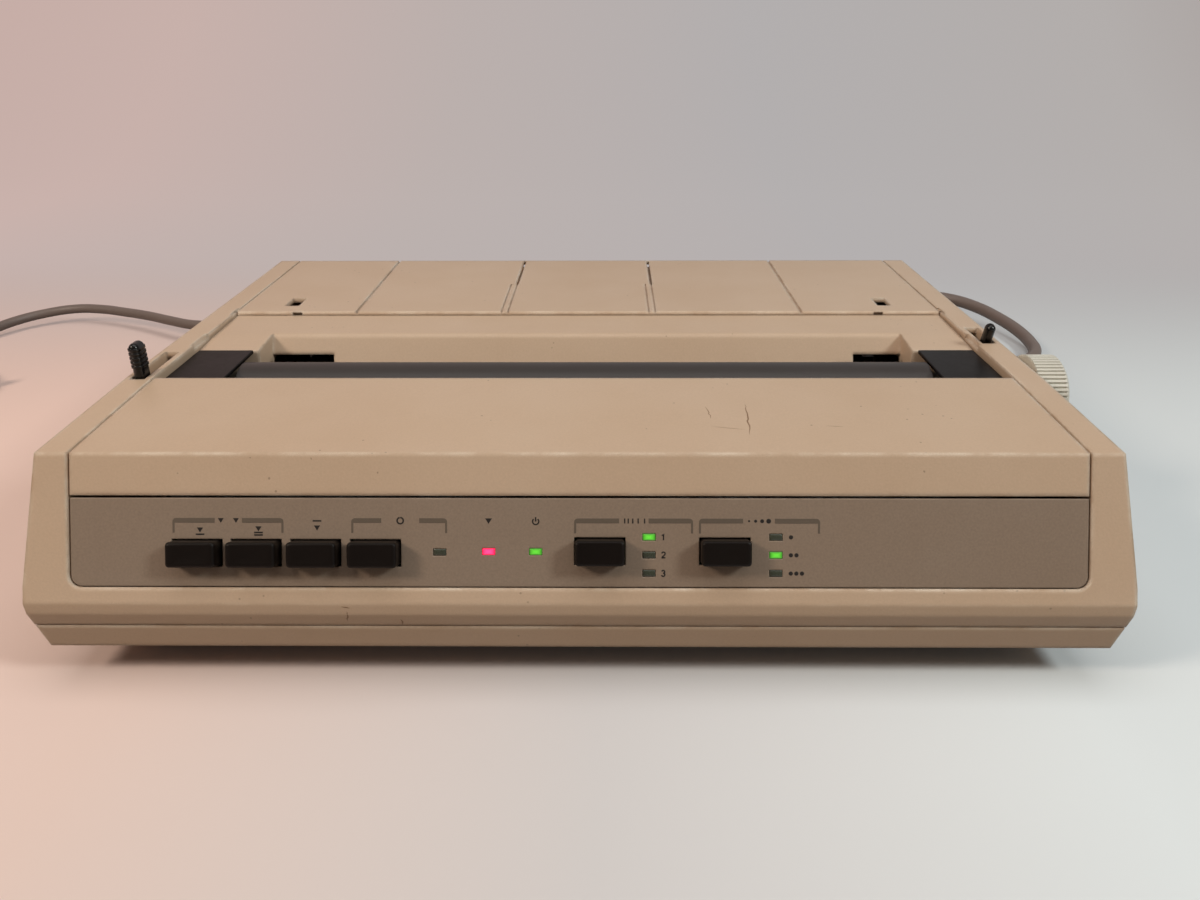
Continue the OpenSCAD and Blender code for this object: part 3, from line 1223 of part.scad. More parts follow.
module tie(centre, r_out, turns, d, angle) translate([centre[0], centre[1], 0]) rotate(angle) {
    pitch = d + loop_gap;
    r0 = r_out - pitch * turns / 2 - d / 2 - 0.6;
    r1 = r_out + d / 2 + 0.6;
    z1 = d + pitch + tie_t + 0.7;
    difference() {
        block(r0 - tie_t, r1 + tie_t, -3, 3, 0, z1 + tie_t);
        block(r0, r1, -4, 4, tie_t, z1);
    }
}

module cord_ties() color([0.10, 0.10, 0.10]) on_mid() {
    tie(mains_coil, mains_coil_r, mains_turns, mains_d, 30);
    tie(data_coil, data_coil_r, data_turns, data_d, 60);
}

lower_case();
upper_case();
access_cover();
rear_cover();
sheet_guide();
control_panel();
rubber_feet();
case_screws();
lamp_red();
lamps_green_lit();
lamps_unlit();
line_feed_button();
form_feed_button();
top_of_form_button();
select_button();
pitch_button();
mode_button();
panel_board();
mechanism_base();
left_side_frame();
right_side_frame();
end_covers();
platen_roller();
platen_shaft();
platen_gear();
platen_knob();
idler_gear();
feed_motor();
feed_pinion();
tractor_shaft();
tractor_wheels();
paper_guide();
pressure_frame();
pressure_rollers();
guide_rod();
carriage();
print_head();
ribbon_cartridge();
timing_belt();
drive_pulley();
idler_pulley();
carriage_motor();
bail_lever();
bail_arms();
bail_rollers();
release_lever();
power_transformer();
main_board();
board_components();
interface_socket();
cord_grip();
power_switch();
power_cord();
power_cord_coil();
mains_plug();
data_plug();
data_cable();
data_cable_coil();
data_connector();
cord_ties();
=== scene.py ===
import json
import math

import bmesh
import bpy
from mathutils import Matrix, Vector
from mathutils.bvhtree import BVHTree

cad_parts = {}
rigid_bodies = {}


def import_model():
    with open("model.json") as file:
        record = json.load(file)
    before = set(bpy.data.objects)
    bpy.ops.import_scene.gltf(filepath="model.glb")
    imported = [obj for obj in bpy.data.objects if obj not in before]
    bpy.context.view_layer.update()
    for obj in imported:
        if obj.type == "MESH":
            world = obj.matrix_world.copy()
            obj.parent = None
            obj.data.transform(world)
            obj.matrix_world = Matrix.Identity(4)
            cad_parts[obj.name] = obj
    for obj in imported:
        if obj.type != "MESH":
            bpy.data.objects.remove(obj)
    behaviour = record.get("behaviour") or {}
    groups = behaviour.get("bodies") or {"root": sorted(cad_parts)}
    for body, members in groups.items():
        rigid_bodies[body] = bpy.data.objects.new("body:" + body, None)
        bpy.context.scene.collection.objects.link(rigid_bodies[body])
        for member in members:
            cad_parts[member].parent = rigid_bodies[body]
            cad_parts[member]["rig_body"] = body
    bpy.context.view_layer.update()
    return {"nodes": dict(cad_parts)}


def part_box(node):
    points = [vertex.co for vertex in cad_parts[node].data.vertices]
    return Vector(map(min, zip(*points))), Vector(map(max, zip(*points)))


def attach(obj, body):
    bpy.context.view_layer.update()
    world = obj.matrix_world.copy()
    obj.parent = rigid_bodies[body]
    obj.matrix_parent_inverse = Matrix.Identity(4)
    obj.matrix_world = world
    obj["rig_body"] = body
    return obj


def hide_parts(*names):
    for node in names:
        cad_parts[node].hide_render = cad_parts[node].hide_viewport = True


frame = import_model()
nodes = frame["nodes"]

# Places come from the frame, in metres. The case is drawn about its own middle plane.
MM = 0.001
case_low, case_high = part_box("upper_case")
MID_X = (case_low.x + case_high.x) / 2
BODY_OF = {name: node["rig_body"] for name, node in nodes.items()}


def at(x, y, z):
    """A point given in millimetres from the middle plane of the case."""
    return Vector((MID_X + x * MM, y * MM, z * MM))


def linear(value):
    """One channel from 0 to 255, as seen on a screen, to linear light."""
    c = value / 255
    return c / 12.92 if c <= 0.04045 else ((c + 0.055) / 1.055) ** 2.4


def tint(red, green, blue):
    return (linear(red), linear(green), linear(blue), 1.0)


# Camera

PHOTO_W = 1200
FOCAL_PX = 936.0
SENSOR_W = 36.0
CAMERA_X = 10.3
CAMERA_Y = -390.1
CAMERA_Z = 205.7
PITCH = math.radians(24.906)
YAW = math.radians(0.6008)
ROLL = math.radians(0.2101)


def make_camera():
    data = bpy.data.cameras.new("camera")
    data.sensor_width = SENSOR_W
    data.sensor_fit = "HORIZONTAL"
    data.lens = FOCAL_PX / PHOTO_W * SENSOR_W
    data.clip_start = 0.01
    camera = bpy.data.objects.new("camera", data)
    bpy.context.scene.collection.objects.link(camera)
    turn = Matrix.Rotation(YAW, 3, "Z")
    right = turn @ Vector((1, 0, 0))
    ahead = turn @ Vector((0, math.cos(PITCH), -math.sin(PITCH)))
    down = turn @ Vector((0, -math.sin(PITCH), -math.cos(PITCH)))
    side = math.cos(ROLL) * right + math.sin(ROLL) * down
    below = math.cos(ROLL) * down - math.sin(ROLL) * right
    axes = Matrix((side, -below, -ahead)).transposed()
    camera.matrix_world = Matrix.Translation(at(CAMERA_X, CAMERA_Y, CAMERA_Z)) @ axes.to_4x4()
    bpy.context.scene.camera = camera


# Material helpers

# Places of the Mix node's sockets
MIX_SHARE = 0
MIX_NUMBER_A = 2
MIX_NUMBER_B = 3
MIX_COLOUR_A = 6
MIX_COLOUR_B = 7
MIX_NUMBER_OUT = 0
MIX_COLOUR_OUT = 2


class Finish:
    """A material with its Principled shader and short calls for adding nodes and links."""

    def __init__(self, name, colour, roughness, metallic=0.0, specular=0.5):
        self.name = name
        self.material = bpy.data.materials.new(name)
        self.material.use_nodes = True
        self.material.diffuse_color = colour
        self.tree = self.material.node_tree
        self.shader = self.tree.nodes["Principled BSDF"]
        self.set("Base Color", colour)
        self.set("Roughness", roughness)
        self.set("Metallic", metallic)
        self.set("Specular IOR Level", specular)
        self.place = self.add("ShaderNodeTexCoord").outputs["Object"]

    def set(self, socket, value):
        self.shader.inputs[socket].default_value = value

    def add(self, kind, **settings):
        node = self.tree.nodes.new(kind)
        for key, value in settings.items():
            setattr(node, key, value)
        return node

    def join(self, source, target):
        self.tree.links.new(source, target)

    def group(self, tree, **values):
        """One use of a shared effect, with its own values."""
        node = self.add("ShaderNodeGroup", node_tree=tree)
        self.join(self.place, node.inputs["Place"])
        for key, value in values.items():
            node.inputs[key].default_value = value
        return node

    def feed(self, source, socket):
        self.join(source, self.shader.inputs[socket])

    def mix_colours(self, share, under, over):
        """The colour under, and the colour over where share is 1. Each is a value or an output."""
        node = self.add("ShaderNodeMix", data_type="RGBA")
        self.join(share, node.inputs[MIX_SHARE])
        for colour, socket in ((under, MIX_COLOUR_A), (over, MIX_COLOUR_B)):
            if isinstance(colour, tuple):
                node.inputs[socket].default_value = colour
            else:
                self.join(colour, node.inputs[socket])
        return node.outputs[MIX_COLOUR_OUT]


class Effect:
    """A shader node group with named inputs and outputs."""

    def __init__(self, name, inputs, outputs):
        self.tree = bpy.data.node_groups.new(name, "ShaderNodeTree")
        for key, kind, value in inputs:
            socket = self.tree.interface.new_socket(name=key, in_out="INPUT", socket_type=kind)
            if value is not None:
                socket.default_value = value
        for key, kind in outputs:
            self.tree.interface.new_socket(name=key, in_out="OUTPUT", socket_type=kind)
        self.inputs = self.tree.nodes.new("NodeGroupInput").outputs
        self.outputs = self.tree.nodes.new("NodeGroupOutput").inputs

    def add(self, kind, links=(), **settings):
        node = self.tree.nodes.new(kind)
        for key, value in settings.items():
            setattr(node, key, value)
        for socket, source in links:
            if isinstance(source, (int, float, tuple)):
                node.inputs[socket].default_value = source
            else:
                self.tree.links.new(source, node.inputs[socket])
        return node

    def math(self, operation, *sources):
        return self.add("ShaderNodeMath", list(enumerate(sources)), operation=operation).outputs[0]

    def noise(self, place, scale, detail, roughness):
        links = [("Vector", place), ("Scale", scale), ("Detail", detail), ("Roughness", roughness)]
        return self.add("ShaderNodeTexNoise", links).outputs["Fac"]

    def stretch(self, value, low, high):
        """The value between low and high, spread out to 0 and 1."""
        links = [("Value", value), ("From Min", low), ("From Max", high)]
        return self.add("ShaderNodeMapRange", links).outputs["Result"]

    def mix_colours(self, share, under, over):
        links = [(MIX_SHARE, share), (MIX_COLOUR_A, under), (MIX_COLOUR_B, over)]
        return self.add("ShaderNodeMix", links, data_type="RGBA").outputs[MIX_COLOUR_OUT]

    def send(self, source, name):
        self.tree.links.new(source, self.outputs[name])


FLOAT = "NodeSocketFloat"
COLOUR = "NodeSocketColor"
VECTOR = "NodeSocketVector"


# Effects that several materials share

def make_grain():
    """Fine spark-eroded texture of moulded plastic, with the sheen broken up a little."""
    effect = Effect(
        "moulded grain",
        [("Place", VECTOR, None), ("Cell", FLOAT, 0.0008), ("Sheen", FLOAT, 0.5), ("Spread", FLOAT, 0.1)],
        [("Height", FLOAT), ("Roughness", FLOAT)],
    )
    scale = effect.math("DIVIDE", 1.0, effect.inputs["Cell"])
    place = effect.inputs["Place"]
    fine = effect.noise(place, scale, 2.0, 0.6)
    patch = effect.noise(place, 38.0, 4.0, 0.65)
    swing = effect.math("SUBTRACT", patch, 0.5)
    worn_and_highlit = effect.math("MULTIPLY_ADD", swing, effect.inputs["Spread"], effect.inputs["Sheen"])
    speck = effect.math("SUBTRACT", fine, 0.5)
    effect.send(effect.math("MULTIPLY_ADD", speck, 0.08, worn_and_highlit), "Roughness")
    effect.send(fine, "Height")
    return effect.tree


DUST_BROWN = tint(86, 66, 50)


def make_ageing():
    """Broad yellowed patches, a fine speckle and a few dust specks over a base colour."""
    effect = Effect(
        "aged colour",
        [("Place", VECTOR, None), ("Colour", COLOUR, None), ("Aged", COLOUR, None), ("Amount", FLOAT, 0.5),
         ("Speckle", FLOAT, 0.06), ("Dust", FLOAT, 0.0)],
        [("Colour", COLOUR)],
    )
    place = effect.inputs["Place"]
    wide = effect.stretch(effect.noise(place, 9.0, 5.0, 0.62), 0.36, 0.68)
    share = effect.math("MULTIPLY", wide, effect.inputs["Amount"])
    aged = effect.mix_colours(share, effect.inputs["Colour"], effect.inputs["Aged"])
    fine = effect.noise(place, 1400.0, 1.0, 0.5)
    spread = effect.math("MULTIPLY", effect.math("SUBTRACT", fine, 0.5), effect.inputs["Speckle"])
    shade = effect.math("ADD", effect.math("MULTIPLY", spread, 2.0), 1.0)
    speckled = effect.add("ShaderNodeVectorMath", [(0, aged), (1, shade)], operation="MULTIPLY").outputs[0]
    cells = effect.add("ShaderNodeTexVoronoi", [("Vector", place), ("Scale", 210.0), ("Randomness", 1.0)])
    pick = effect.noise(place, 31.0, 2.0, 0.5)
    near = effect.math("LESS_THAN", cells.outputs["Distance"], 0.085)
    few = effect.math("GREATER_THAN", pick, 0.585)
    mark = effect.math("MULTIPLY", effect.math("MULTIPLY", near, few), effect.inputs["Dust"])
    effect.send(effect.mix_colours(mark, speckled, DUST_BROWN), "Colour")
    return effect.tree


def make_edge_wear_and_highlight():
    """A mask along outside edges, broken up, where hands and cleaning have polished the surface, and where
    moulded finishes paint a lighter edge as a painted highlight.
    """
    effect = Effect(
        "edge wear",
        [("Place", VECTOR, None), ("Width", FLOAT, 0.001), ("Breakup", FLOAT, 60.0)],
        [("Mask", FLOAT), ("Normal", VECTOR)],
    )
    rounded = effect.add("ShaderNodeBevel", [("Radius", effect.inputs["Width"])], samples=4)
    flat = effect.add("ShaderNodeNewGeometry")
    normals = [(0, rounded.outputs["Normal"]), (1, flat.outputs["Normal"])]
    along = effect.add("ShaderNodeVectorMath", normals, operation="DOT_PRODUCT").outputs["Value"]
    edge = effect.stretch(along, 0.995, 0.86)
    patches = effect.noise(effect.inputs["Place"], effect.inputs["Breakup"], 4.0, 0.7)
    broken = effect.stretch(patches, 0.4, 0.62)
    effect.send(effect.math("MULTIPLY", edge, broken), "Mask")
    effect.send(rounded.outputs["Normal"], "Normal")
    return effect.tree


def make_brushing():
    """Fine scratches along X, as on rolled or ground metal."""
    effect = Effect(
        "brushed metal",
        [("Place", VECTOR, None), ("Sheen", FLOAT, 0.3), ("Spread", FLOAT, 0.2)],
        [("Height", FLOAT), ("Roughness", FLOAT)],
    )
    sides = [(0, effect.inputs["Place"]), (1, (12.0, 700.0, 700.0))]
    squeezed = effect.add("ShaderNodeVectorMath", sides, operation="MULTIPLY").outputs[0]
    lines = effect.noise(squeezed, 1.0, 3.0, 0.5)
    blots = effect.noise(effect.inputs["Place"], 55.0, 5.0, 0.5)
    both = effect.math("ADD", effect.math("MULTIPLY", lines, 0.5), blots)
    swing = effect.math("SUBTRACT", both, 0.75)
    dulled = effect.math("MULTIPLY_ADD", swing, effect.inputs["Spread"], effect.inputs["Sheen"])
    effect.send(dulled, "Roughness")
    effect.send(lines, "Height")
    return effect.tree


GRAIN = make_grain()
AGEING = make_ageing()
EDGE_WEAR_AND_HIGHLIGHT = make_edge_wear_and_highlight()
BRUSHING = make_brushing()


def bump(finish, height, depth, under):
    """A bump of the given depth in metres over a rounded normal, feeding the shader's own."""
    node = finish.add("ShaderNodeBump")
    node.inputs["Distance"].default_value = depth
    finish.join(height, node.inputs["Height"])
    finish.join(under, node.inputs["Normal"])
    finish.feed(node.outputs["Normal"], "Normal")


def moulded(name, colour, aged, sheen, cell=0.0008, depth=0.00003, amount=0.5, speckle=0.06, dust=0.0,
            wear_and_highlight=None, wear_and_highlight_width=0.0015, polish=0.22, specular=0.5):
    """Moulded plastic: grain, ageing, and polished edges that the edge colour paints lighter, partly real
    wear and partly a painted highlight.
    """
    finish = Finish(name, colour, sheen, specular=specular)
    grain = finish.group(GRAIN, Cell=cell, Sheen=sheen, Spread=0.16)
    age = finish.group(AGEING, Colour=colour, Aged=aged, Amount=amount, Speckle=speckle, Dust=dust)
    edge = finish.group(EDGE_WEAR_AND_HIGHLIGHT, Width=wear_and_highlight_width)
    # The edge colour is partly real wear and partly a painted highlight along folds and corners.
    worn_and_highlit = finish.mix_colours(edge.outputs["Mask"], age.outputs["Colour"], wear_and_highlight or colour)
    finish.feed(worn_and_highlit, "Base Color")
    rubbed = finish.add("ShaderNodeMix", data_type="FLOAT")
    finish.join(edge.outputs["Mask"], rubbed.inputs[MIX_SHARE])
    finish.join(grain.outputs["Roughness"], rubbed.inputs[MIX_NUMBER_A])
    rubbed.inputs[MIX_NUMBER_B].default_value = min(polish, sheen)
    finish.feed(rubbed.outputs[MIX_NUMBER_OUT], "Roughness")
    bump(finish, grain.outputs["Height"], depth, edge.outputs["Normal"])
    return finish


def metal(name, colour, sheen, spread=0.2, depth=0.000004, metallic=1.0):
    """Rolled, ground, cast or painted metal."""
    finish = Finish(name, colour, sheen, metallic=metallic)
    marks = finish.group(BRUSHING, Sheen=sheen, Spread=spread)
    edge = finish.group(EDGE_WEAR_AND_HIGHLIGHT, Width=0.0004)
    dull = tuple(0.72 * c for c in colour[:3]) + (1.0,)
    age = finish.group(AGEING, Colour=colour, Aged=dull, Amount=0.5, Speckle=0.03)
    finish.feed(age.outputs["Colour"], "Base Color")
    finish.feed(marks.outputs["Roughness"], "Roughness")
    bump(finish, marks.outputs["Height"], depth, edge.outputs["Normal"])
    return finish


# The finishes, one for each material slot of the record

PUTTY = tint(203, 178, 154)
PUTTY_AGED = tint(193, 165, 138)
# Lighter edge colour of the case: partly real wear, partly a painted highlight along its folds and corners.
PUTTY_WORN_HIGHLIGHT = tint(236, 221, 202)
TAUPE = tint(143, 126, 111)


# Name, colour when out, glow at the rim and in the middle, strength of the glow
LAMPS = [
    ("lamp_red", tint(200, 30, 70), tint(190, 0, 46), tint(255, 70, 132), 1.5),
    ("lamp_green", tint(54, 100, 36), tint(30, 96, 12), tint(100, 222, 56), 1.0),
    ("lamp_dark", tint(62, 66, 54), tint(0, 0, 0), tint(0, 0, 0), 0.0),
]


def make_finishes():
    # The lighter edge colours of the case, panel, buttons and knob are partly real wear and partly painted
    # highlights along their edges.
    made = [
        moulded(
            "case_plastic", PUTTY, PUTTY_AGED, 0.42, depth=0.00004, amount=0.6, dust=0.35, wear_and_highlight=PUTTY_WORN_HIGHLIGHT,
            wear_and_highlight_width=0.0022),
        moulded(
            "cover_plastic", PUTTY, PUTTY_AGED, 0.4, depth=0.00004, amount=0.6, dust=0.45, wear_and_highlight=PUTTY_WORN_HIGHLIGHT,
            wear_and_highlight_width=0.0022),
        moulded(
            "panel_plastic", TAUPE, tint(136, 115, 97), 0.44, 0.0005, 0.00002, speckle=0.14,
            wear_and_highlight=tint(176, 158, 140), wear_and_highlight_width=0.0007),
        moulded(
            "button_plastic", tint(16, 11, 9), tint(24, 17, 13), 0.4, 0.0005, 0.00001, wear_and_highlight=tint(62, 50, 42),
            wear_and_highlight_width=0.0006, specular=0.16),
        moulded("black_plastic", tint(30, 29, 31), tint(38, 36, 37), 0.5),
        moulded(
            "gloss_black", tint(10, 9, 10), tint(15, 13, 13), 0.22, 0.002, 0.000006, wear_and_highlight_width=0.0005,
            specular=0.4),
        moulded(
            "sheet_black", tint(9, 8, 9), tint(20, 14, 12), 0.34, 0.002, 0.000004, wear_and_highlight_width=0.0004,
            specular=0.1),
        moulded(
            "ivory_plastic", tint(216, 213, 203), tint(200, 196, 180), 0.3, depth=0.00001, dust=0.2,
            wear_and_highlight=tint(238, 238, 230), wear_and_highlight_width=0.0004),
        moulded("gear_plastic", tint(226, 222, 206), tint(210, 204, 184), 0.4),
        moulded(
            "rubber", tint(52, 47, 46), tint(60, 54, 52), 0.46, 0.0004, 0.00001, wear_and_highlight_width=0.0006),
        metal("plate_steel", tint(188, 186, 176), 0.38),
        metal("bright_steel", tint(205, 205, 206), 0.24),
        metal("dark_metal", tint(52, 52, 55), 0.42, metallic=0.6),
        metal("cast_metal", tint(168, 168, 170), 0.48, 0.3, 0.00002),
        metal("brass", tint(206, 172, 96), 0.3),
        metal("transformer_iron", tint(120, 104, 82), 0.5, metallic=0.3),
        moulded("circuit_board", tint(32, 92, 48), tint(24, 74, 38), 0.32, 0.004, 0.00001),
        metal("socket_shell", tint(176, 176, 172), 0.36, metallic=0.9),
        moulded("cord_rubber", tint(122, 108, 102), tint(108, 94, 88), 0.46, 0.0012, 0.00002),
        moulded("plug_plastic", tint(104, 92, 84), tint(92, 80, 73), 0.44),
        moulded("connector_plastic", tint(178, 168, 152), tint(166, 154, 136), 0.46),
        moulded(
            "panel_ink_grey", tint(100, 88, 76), tint(92, 80, 69), 0.5, 0.0004, 0.000004, wear_and_highlight_width=0.0001),
        moulded(
            "panel_ink_black", tint(26, 20, 17), tint(34, 26, 22), 0.5, 0.0004, 0.000004, wear_and_highlight_width=0.0001),
        moulded(
            "scuff_brown", tint(138, 108, 82), tint(120, 92, 70), 0.5, 0.0004, 0.00001, wear_and_highlight_width=0.0001),
    ]
    made += [lamp_finish(*lamp) for lamp in LAMPS]
    return {finish.name: finish for finish in made}


def lamp_finish(name, colour, rim_glow, core_glow, strength):
    """A moulded lamp window, brighter in its middle where it is lit."""
    finish = Finish(name, colour, 0.28)
    grain = finish.group(GRAIN, Cell=0.0006, Sheen=0.28, Spread=0.1)
    finish.feed(grain.outputs["Roughness"], "Roughness")
    core = finish.add("ShaderNodeAttribute", attribute_name="core")
    finish.feed(finish.mix_colours(core.outputs["Fac"], rim_glow, core_glow), "Emission Color")
    finish.set("Emission Strength", strength)
    return finish


FINISHES = make_finishes()


def wear_finish(piece, slot):
    piece.data.materials.clear()
    piece.data.materials.append(FINISHES[slot].material)


SLOT_OF = {name: node.data.materials[0].name for name, node in nodes.items()}
FINISH_OF = dict(SLOT_OF, end_covers="sheet_black")
for name, node in nodes.items():
    wear_finish(node, FINISH_OF[name])


# Rounded copies of the mouldings

WELD = 0.000002
FLAT_ANGLE = math.radians(0.5)


def new_object(name, data):
    piece = bpy.data.objects.new(name, data)
    bpy.context.scene.collection.objects.link(piece)
    return piece


def clean_mesh(name):
    """A node's mesh with its faces welded and flat ones merged."""
    mesh = nodes[name].data.copy()
    shape = bmesh.new()
    shape.from_mesh(mesh)
    bmesh.ops.remove_doubles(shape, verts=shape.verts[:], dist=WELD)
    bmesh.ops.dissolve_limit(shape, angle_limit=FLAT_ANGLE, verts=shape.verts[:], edges=shape.edges[:])
    for face in shape.faces:
        face.smooth = True
    shape.to_mesh(mesh)
    shape.free()
    return mesh


def rounded(name, radius, crease):
    """A copy of a node with its edges sharper than the crease angle rounded, standing for that node."""
    piece = new_object(name + "_moulding", clean_mesh(name))
    bevel = piece.modifiers.new("rounded edges", "BEVEL")
    bevel.width = radius * MM
    bevel.segments = 3
    bevel.limit_method = "ANGLE"
    bevel.angle_limit = math.radians(crease)
    bevel.use_clamp_overlap = True
    bevel.miter_outer = "MITER_ARC"
    piece.modifiers.new("even shading", "WEIGHTED_NORMAL")
    wear_finish(piece, FINISH_OF[name])
    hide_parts(name)
    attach(piece, BODY_OF[name])


# Radius of the rounding in millimetres, and the least fold in degrees that gets one
CREASE = {"upper_case": 9.0}
USUAL_CREASE = 25.0
ROUNDED = {
    "upper_case": 0.9,
    "lower_case": 0.8,
    "access_cover": 1.2,
    "rear_cover": 0.5,
    "sheet_guide": 0.3,
    "end_covers": 0.4,
    "platen_knob": 0.2,
    "bail_lever": 0.2,
    "release_lever": 0.2,
}

for name, radius in ROUNDED.items():
    rounded(name, radius, CREASE.get(name, USUAL_CREASE))


# Control panel: its buttons, lamp windows and printed marks, in millimetres down the sloping front

FACE_TILT = math.radians(23.2)
FACE_TOP_Y = -117.83
FACE_TOP_Z = 78.1
PANEL_H = -0.2


def on_face(x, s, h):
    """A point x from the middle plane, s down the sloping front and h out of it."""
    y = FACE_TOP_Y - s * math.sin(FACE_TILT) - h * math.cos(FACE_TILT)
    z = FACE_TOP_Z - s * math.cos(FACE_TILT) + h * math.sin(FACE_TILT)
    return at(x, y, z)


def finish_mesh(name, shape, slot, smooth=True):
    """A new piece from a bmesh, in the finish of one slot."""
    bmesh.ops.recalc_face_normals(shape, faces=shape.faces[:])
    mesh = bpy.data.meshes.new(name)
    for face in shape.faces:
        face.smooth = smooth
    shape.to_mesh(mesh)
    shape.free()
    piece = new_object(name, mesh)
    wear_finish(piece, slot)
    return piece


def corner_ring(width, height, radius, steps=5):
    """Points round a rectangle with rounded corners, about its centre."""
    ring = []
    for turn, (sx, sy) in enumerate(((1, 1), (-1, 1), (-1, -1), (1, -1))):
        for k in range(steps + 1):
            angle = math.radians(90 * (turn + k / steps))
            x = sx * (width / 2 - radius) + radius * math.cos(angle)
            y = sy * (height / 2 - radius) + radius * math.sin(angle)
            ring.append((x, y))
    return ring


def loft(shape, rings, place):
    """Joins rings of equal length into a skin, closed at both ends. place turns (x, y, h) into a point."""
    rows = [[shape.verts.new(place(x, y, h)) for x, y in ring] for ring, h in rings]
    count = len(rows[0])
    for low, high in zip(rows, rows[1:]):
        for k in range(count):
            shape.faces.new((low[k], low[(k + 1) % count], high[(k + 1) % count], high[k]))
    shape.faces.new(rows[0])
    shape.faces.new(rows[-1])


BUTTON_W = 15.8
BUTTON_H = 8.2
BUTTON_OUT = 6
BUTTON_R = 1.1
BUTTON_FOOT = -4.5
BUTTON_WALL = 4.6
EDGE_HEIGHT = 1.1
EDGE_INSET = 0.8

# Share of the cap's flat face, and how deep it is dished there
DISH = [(0.75, 0.1), (0.45, 0.2), (0.15, 0.24)]
BUTTON_PLACES = {
    "line_feed_button": (-123, 32.3),
    "form_feed_button": (-103.8, 32.3),
    "top_of_form_button": (-84.5, 32.3),
    "select_button": (-65.1, 32.3),
    "pitch_button": (7.4, 31.6),
    "mode_button": (47.7, 31.6),
}


def make_button(name, x0, s0):
    """A key cap with rounded corners, a turned-over edge and a slightly dished face."""
    outline = corner_ring(BUTTON_W, BUTTON_H, BUTTON_R)
    rings = [(outline, BUTTON_FOOT), (outline, BUTTON_WALL)]
    for k in range(1, 6):
        angle = math.radians(18 * k)
        inset = EDGE_INSET * (1 - math.cos(angle))
        ring = corner_ring(BUTTON_W - 2 * inset, BUTTON_H - 2 * inset, BUTTON_R)
        rings.append((ring, BUTTON_OUT - EDGE_HEIGHT + EDGE_HEIGHT * math.sin(angle)))
    flat_w = BUTTON_W - 2 * EDGE_INSET
    flat_h = BUTTON_H - 2 * EDGE_INSET
    for share, dish in DISH:
        ring = corner_ring(flat_w * share, flat_h * share, BUTTON_R * share)
        rings.append((ring, BUTTON_OUT - dish))
    shape = bmesh.new()
    loft(shape, rings, lambda x, y, h: on_face(x0 + x, s0 - y, h))
    piece = finish_mesh(name + "_cap", shape, "button_plastic")
    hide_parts(name)
    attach(piece, name)


for name, (x, s) in BUTTON_PLACES.items():
    make_button(name, x, s)


LAMP_W = 4.1
LAMP_H = 2.1
LAMP_DOME = 0.35
LAMP_PLACES = {
    "lamp_red": [(-28.5, 31.8)],
    "lamps_green_lit": [(-13.3, 31.8), (23.25, 27), (64.1, 32.8)],
    "lamps_unlit": [(-44.3, 32), (23.25, 32.8), (23.25, 38.7), (64.1, 27), (64.1, 38.7)],
}


def make_lamp_windows(name, places):
    """Low domed windows, each with how near a point is to its lit middle."""
    shape = bmesh.new()
    core = shape.verts.layers.float.new("core")
    shares = (1.0, 1.0, 0.86, 0.66, 0.44, 0.22)
    heights = (-3.0, PANEL_H - 0.05, 0.45, 0.75, 0.92, 1.0)
    for x0, s0 in places:
        rings = []
        for share, height in zip(shares, heights):
            ring = corner_ring(LAMP_W * share, LAMP_H * share, 0.25 * share, 2)
            rings.append((ring, height if height < 0 else PANEL_H + LAMP_DOME * height))
        first = len(shape.verts)
        loft(shape, rings, lambda x, y, h: on_face(x0 + x, s0 - y, h))
        shape.verts.ensure_lookup_table()
        per_ring = len(rings[0][0])
        for k in range(first, len(shape.verts)):
            shape.verts[k][core] = 1 - shares[(k - first) // per_ring] ** 2
    piece = finish_mesh(name + "_windows", shape, SLOT_OF[name])
    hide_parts(name)
    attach(piece, BODY_OF[name])


for name, places in LAMP_PLACES.items():
    make_lamp_windows(name, places)


INK_TOP = PANEL_H + 0.04
INK_FOOT = PANEL_H - 0.06
INK_LINE = 0.5
THIN_LINE = 0.45
DIGIT_LINE = 0.44
BAR_W = 2.8


def arc(x, s, radius, start, end, steps=8):
    """Points on an arc, angles in degrees clockwise from the top."""
    turns = [math.radians(start + (end - start) * k / steps) for k in range(steps + 1)]
    return [(x + radius * math.sin(a), s - radius * math.cos(a)) for a in turns]


def stroke(points, width):
    """The outline of a line of the given width along some points."""
    left = []
    right = []
    for k, (x, s) in enumerate(points):
        x0, s0 = points[max(k - 1, 0)]
        x1, s1 = points[min(k + 1, len(points) - 1)]
        long = math.hypot(x1 - x0, s1 - s0)
        dx = (s1 - s0) / long * width / 2
        ds = (x0 - x1) / long * width / 2
        left.append((x + dx, s + ds))
        right.append((x - dx, s - ds))
    return left + right[::-1]


# Bars of the brackets, down the sloping front: top, underside, foot of the legs, leg width and corner
BAR_TOP = 21
BAR_FOOT = 22.55
LEG_FOOT = 25.8
LEG_W = 0.65
BRACKET_R = 1.2


def half_bracket(outer, inner):
    """One bar of a bracket with its rounded corner and its leg."""
    way = 1 if inner > outer else -1
    curve = []
    for k in range(6):
        a = math.radians(18 * k)
        curve.append((outer + way * BRACKET_R * (1 - math.cos(a)), BAR_TOP + BRACKET_R * (1 - math.sin(a))))
    leg = outer + way * LEG_W
    bar_end = [(inner, BAR_TOP), (inner, BAR_FOOT)]
    return [(outer, LEG_FOOT)] + curve + bar_end + [(leg, BAR_FOOT), (leg, LEG_FOOT)]


# Outer left corner, left bar's end, right bar's end, outer right corner
BRACKETS = [
    (-130.9, -117.2, -108.3, -94.9),
    (-72.9, -63.2, -50.9, -41.9),
    (-0.9, 13.6, 23.1, 37.4),
    (39.3, 53.5, 63.7, 78.2),
]


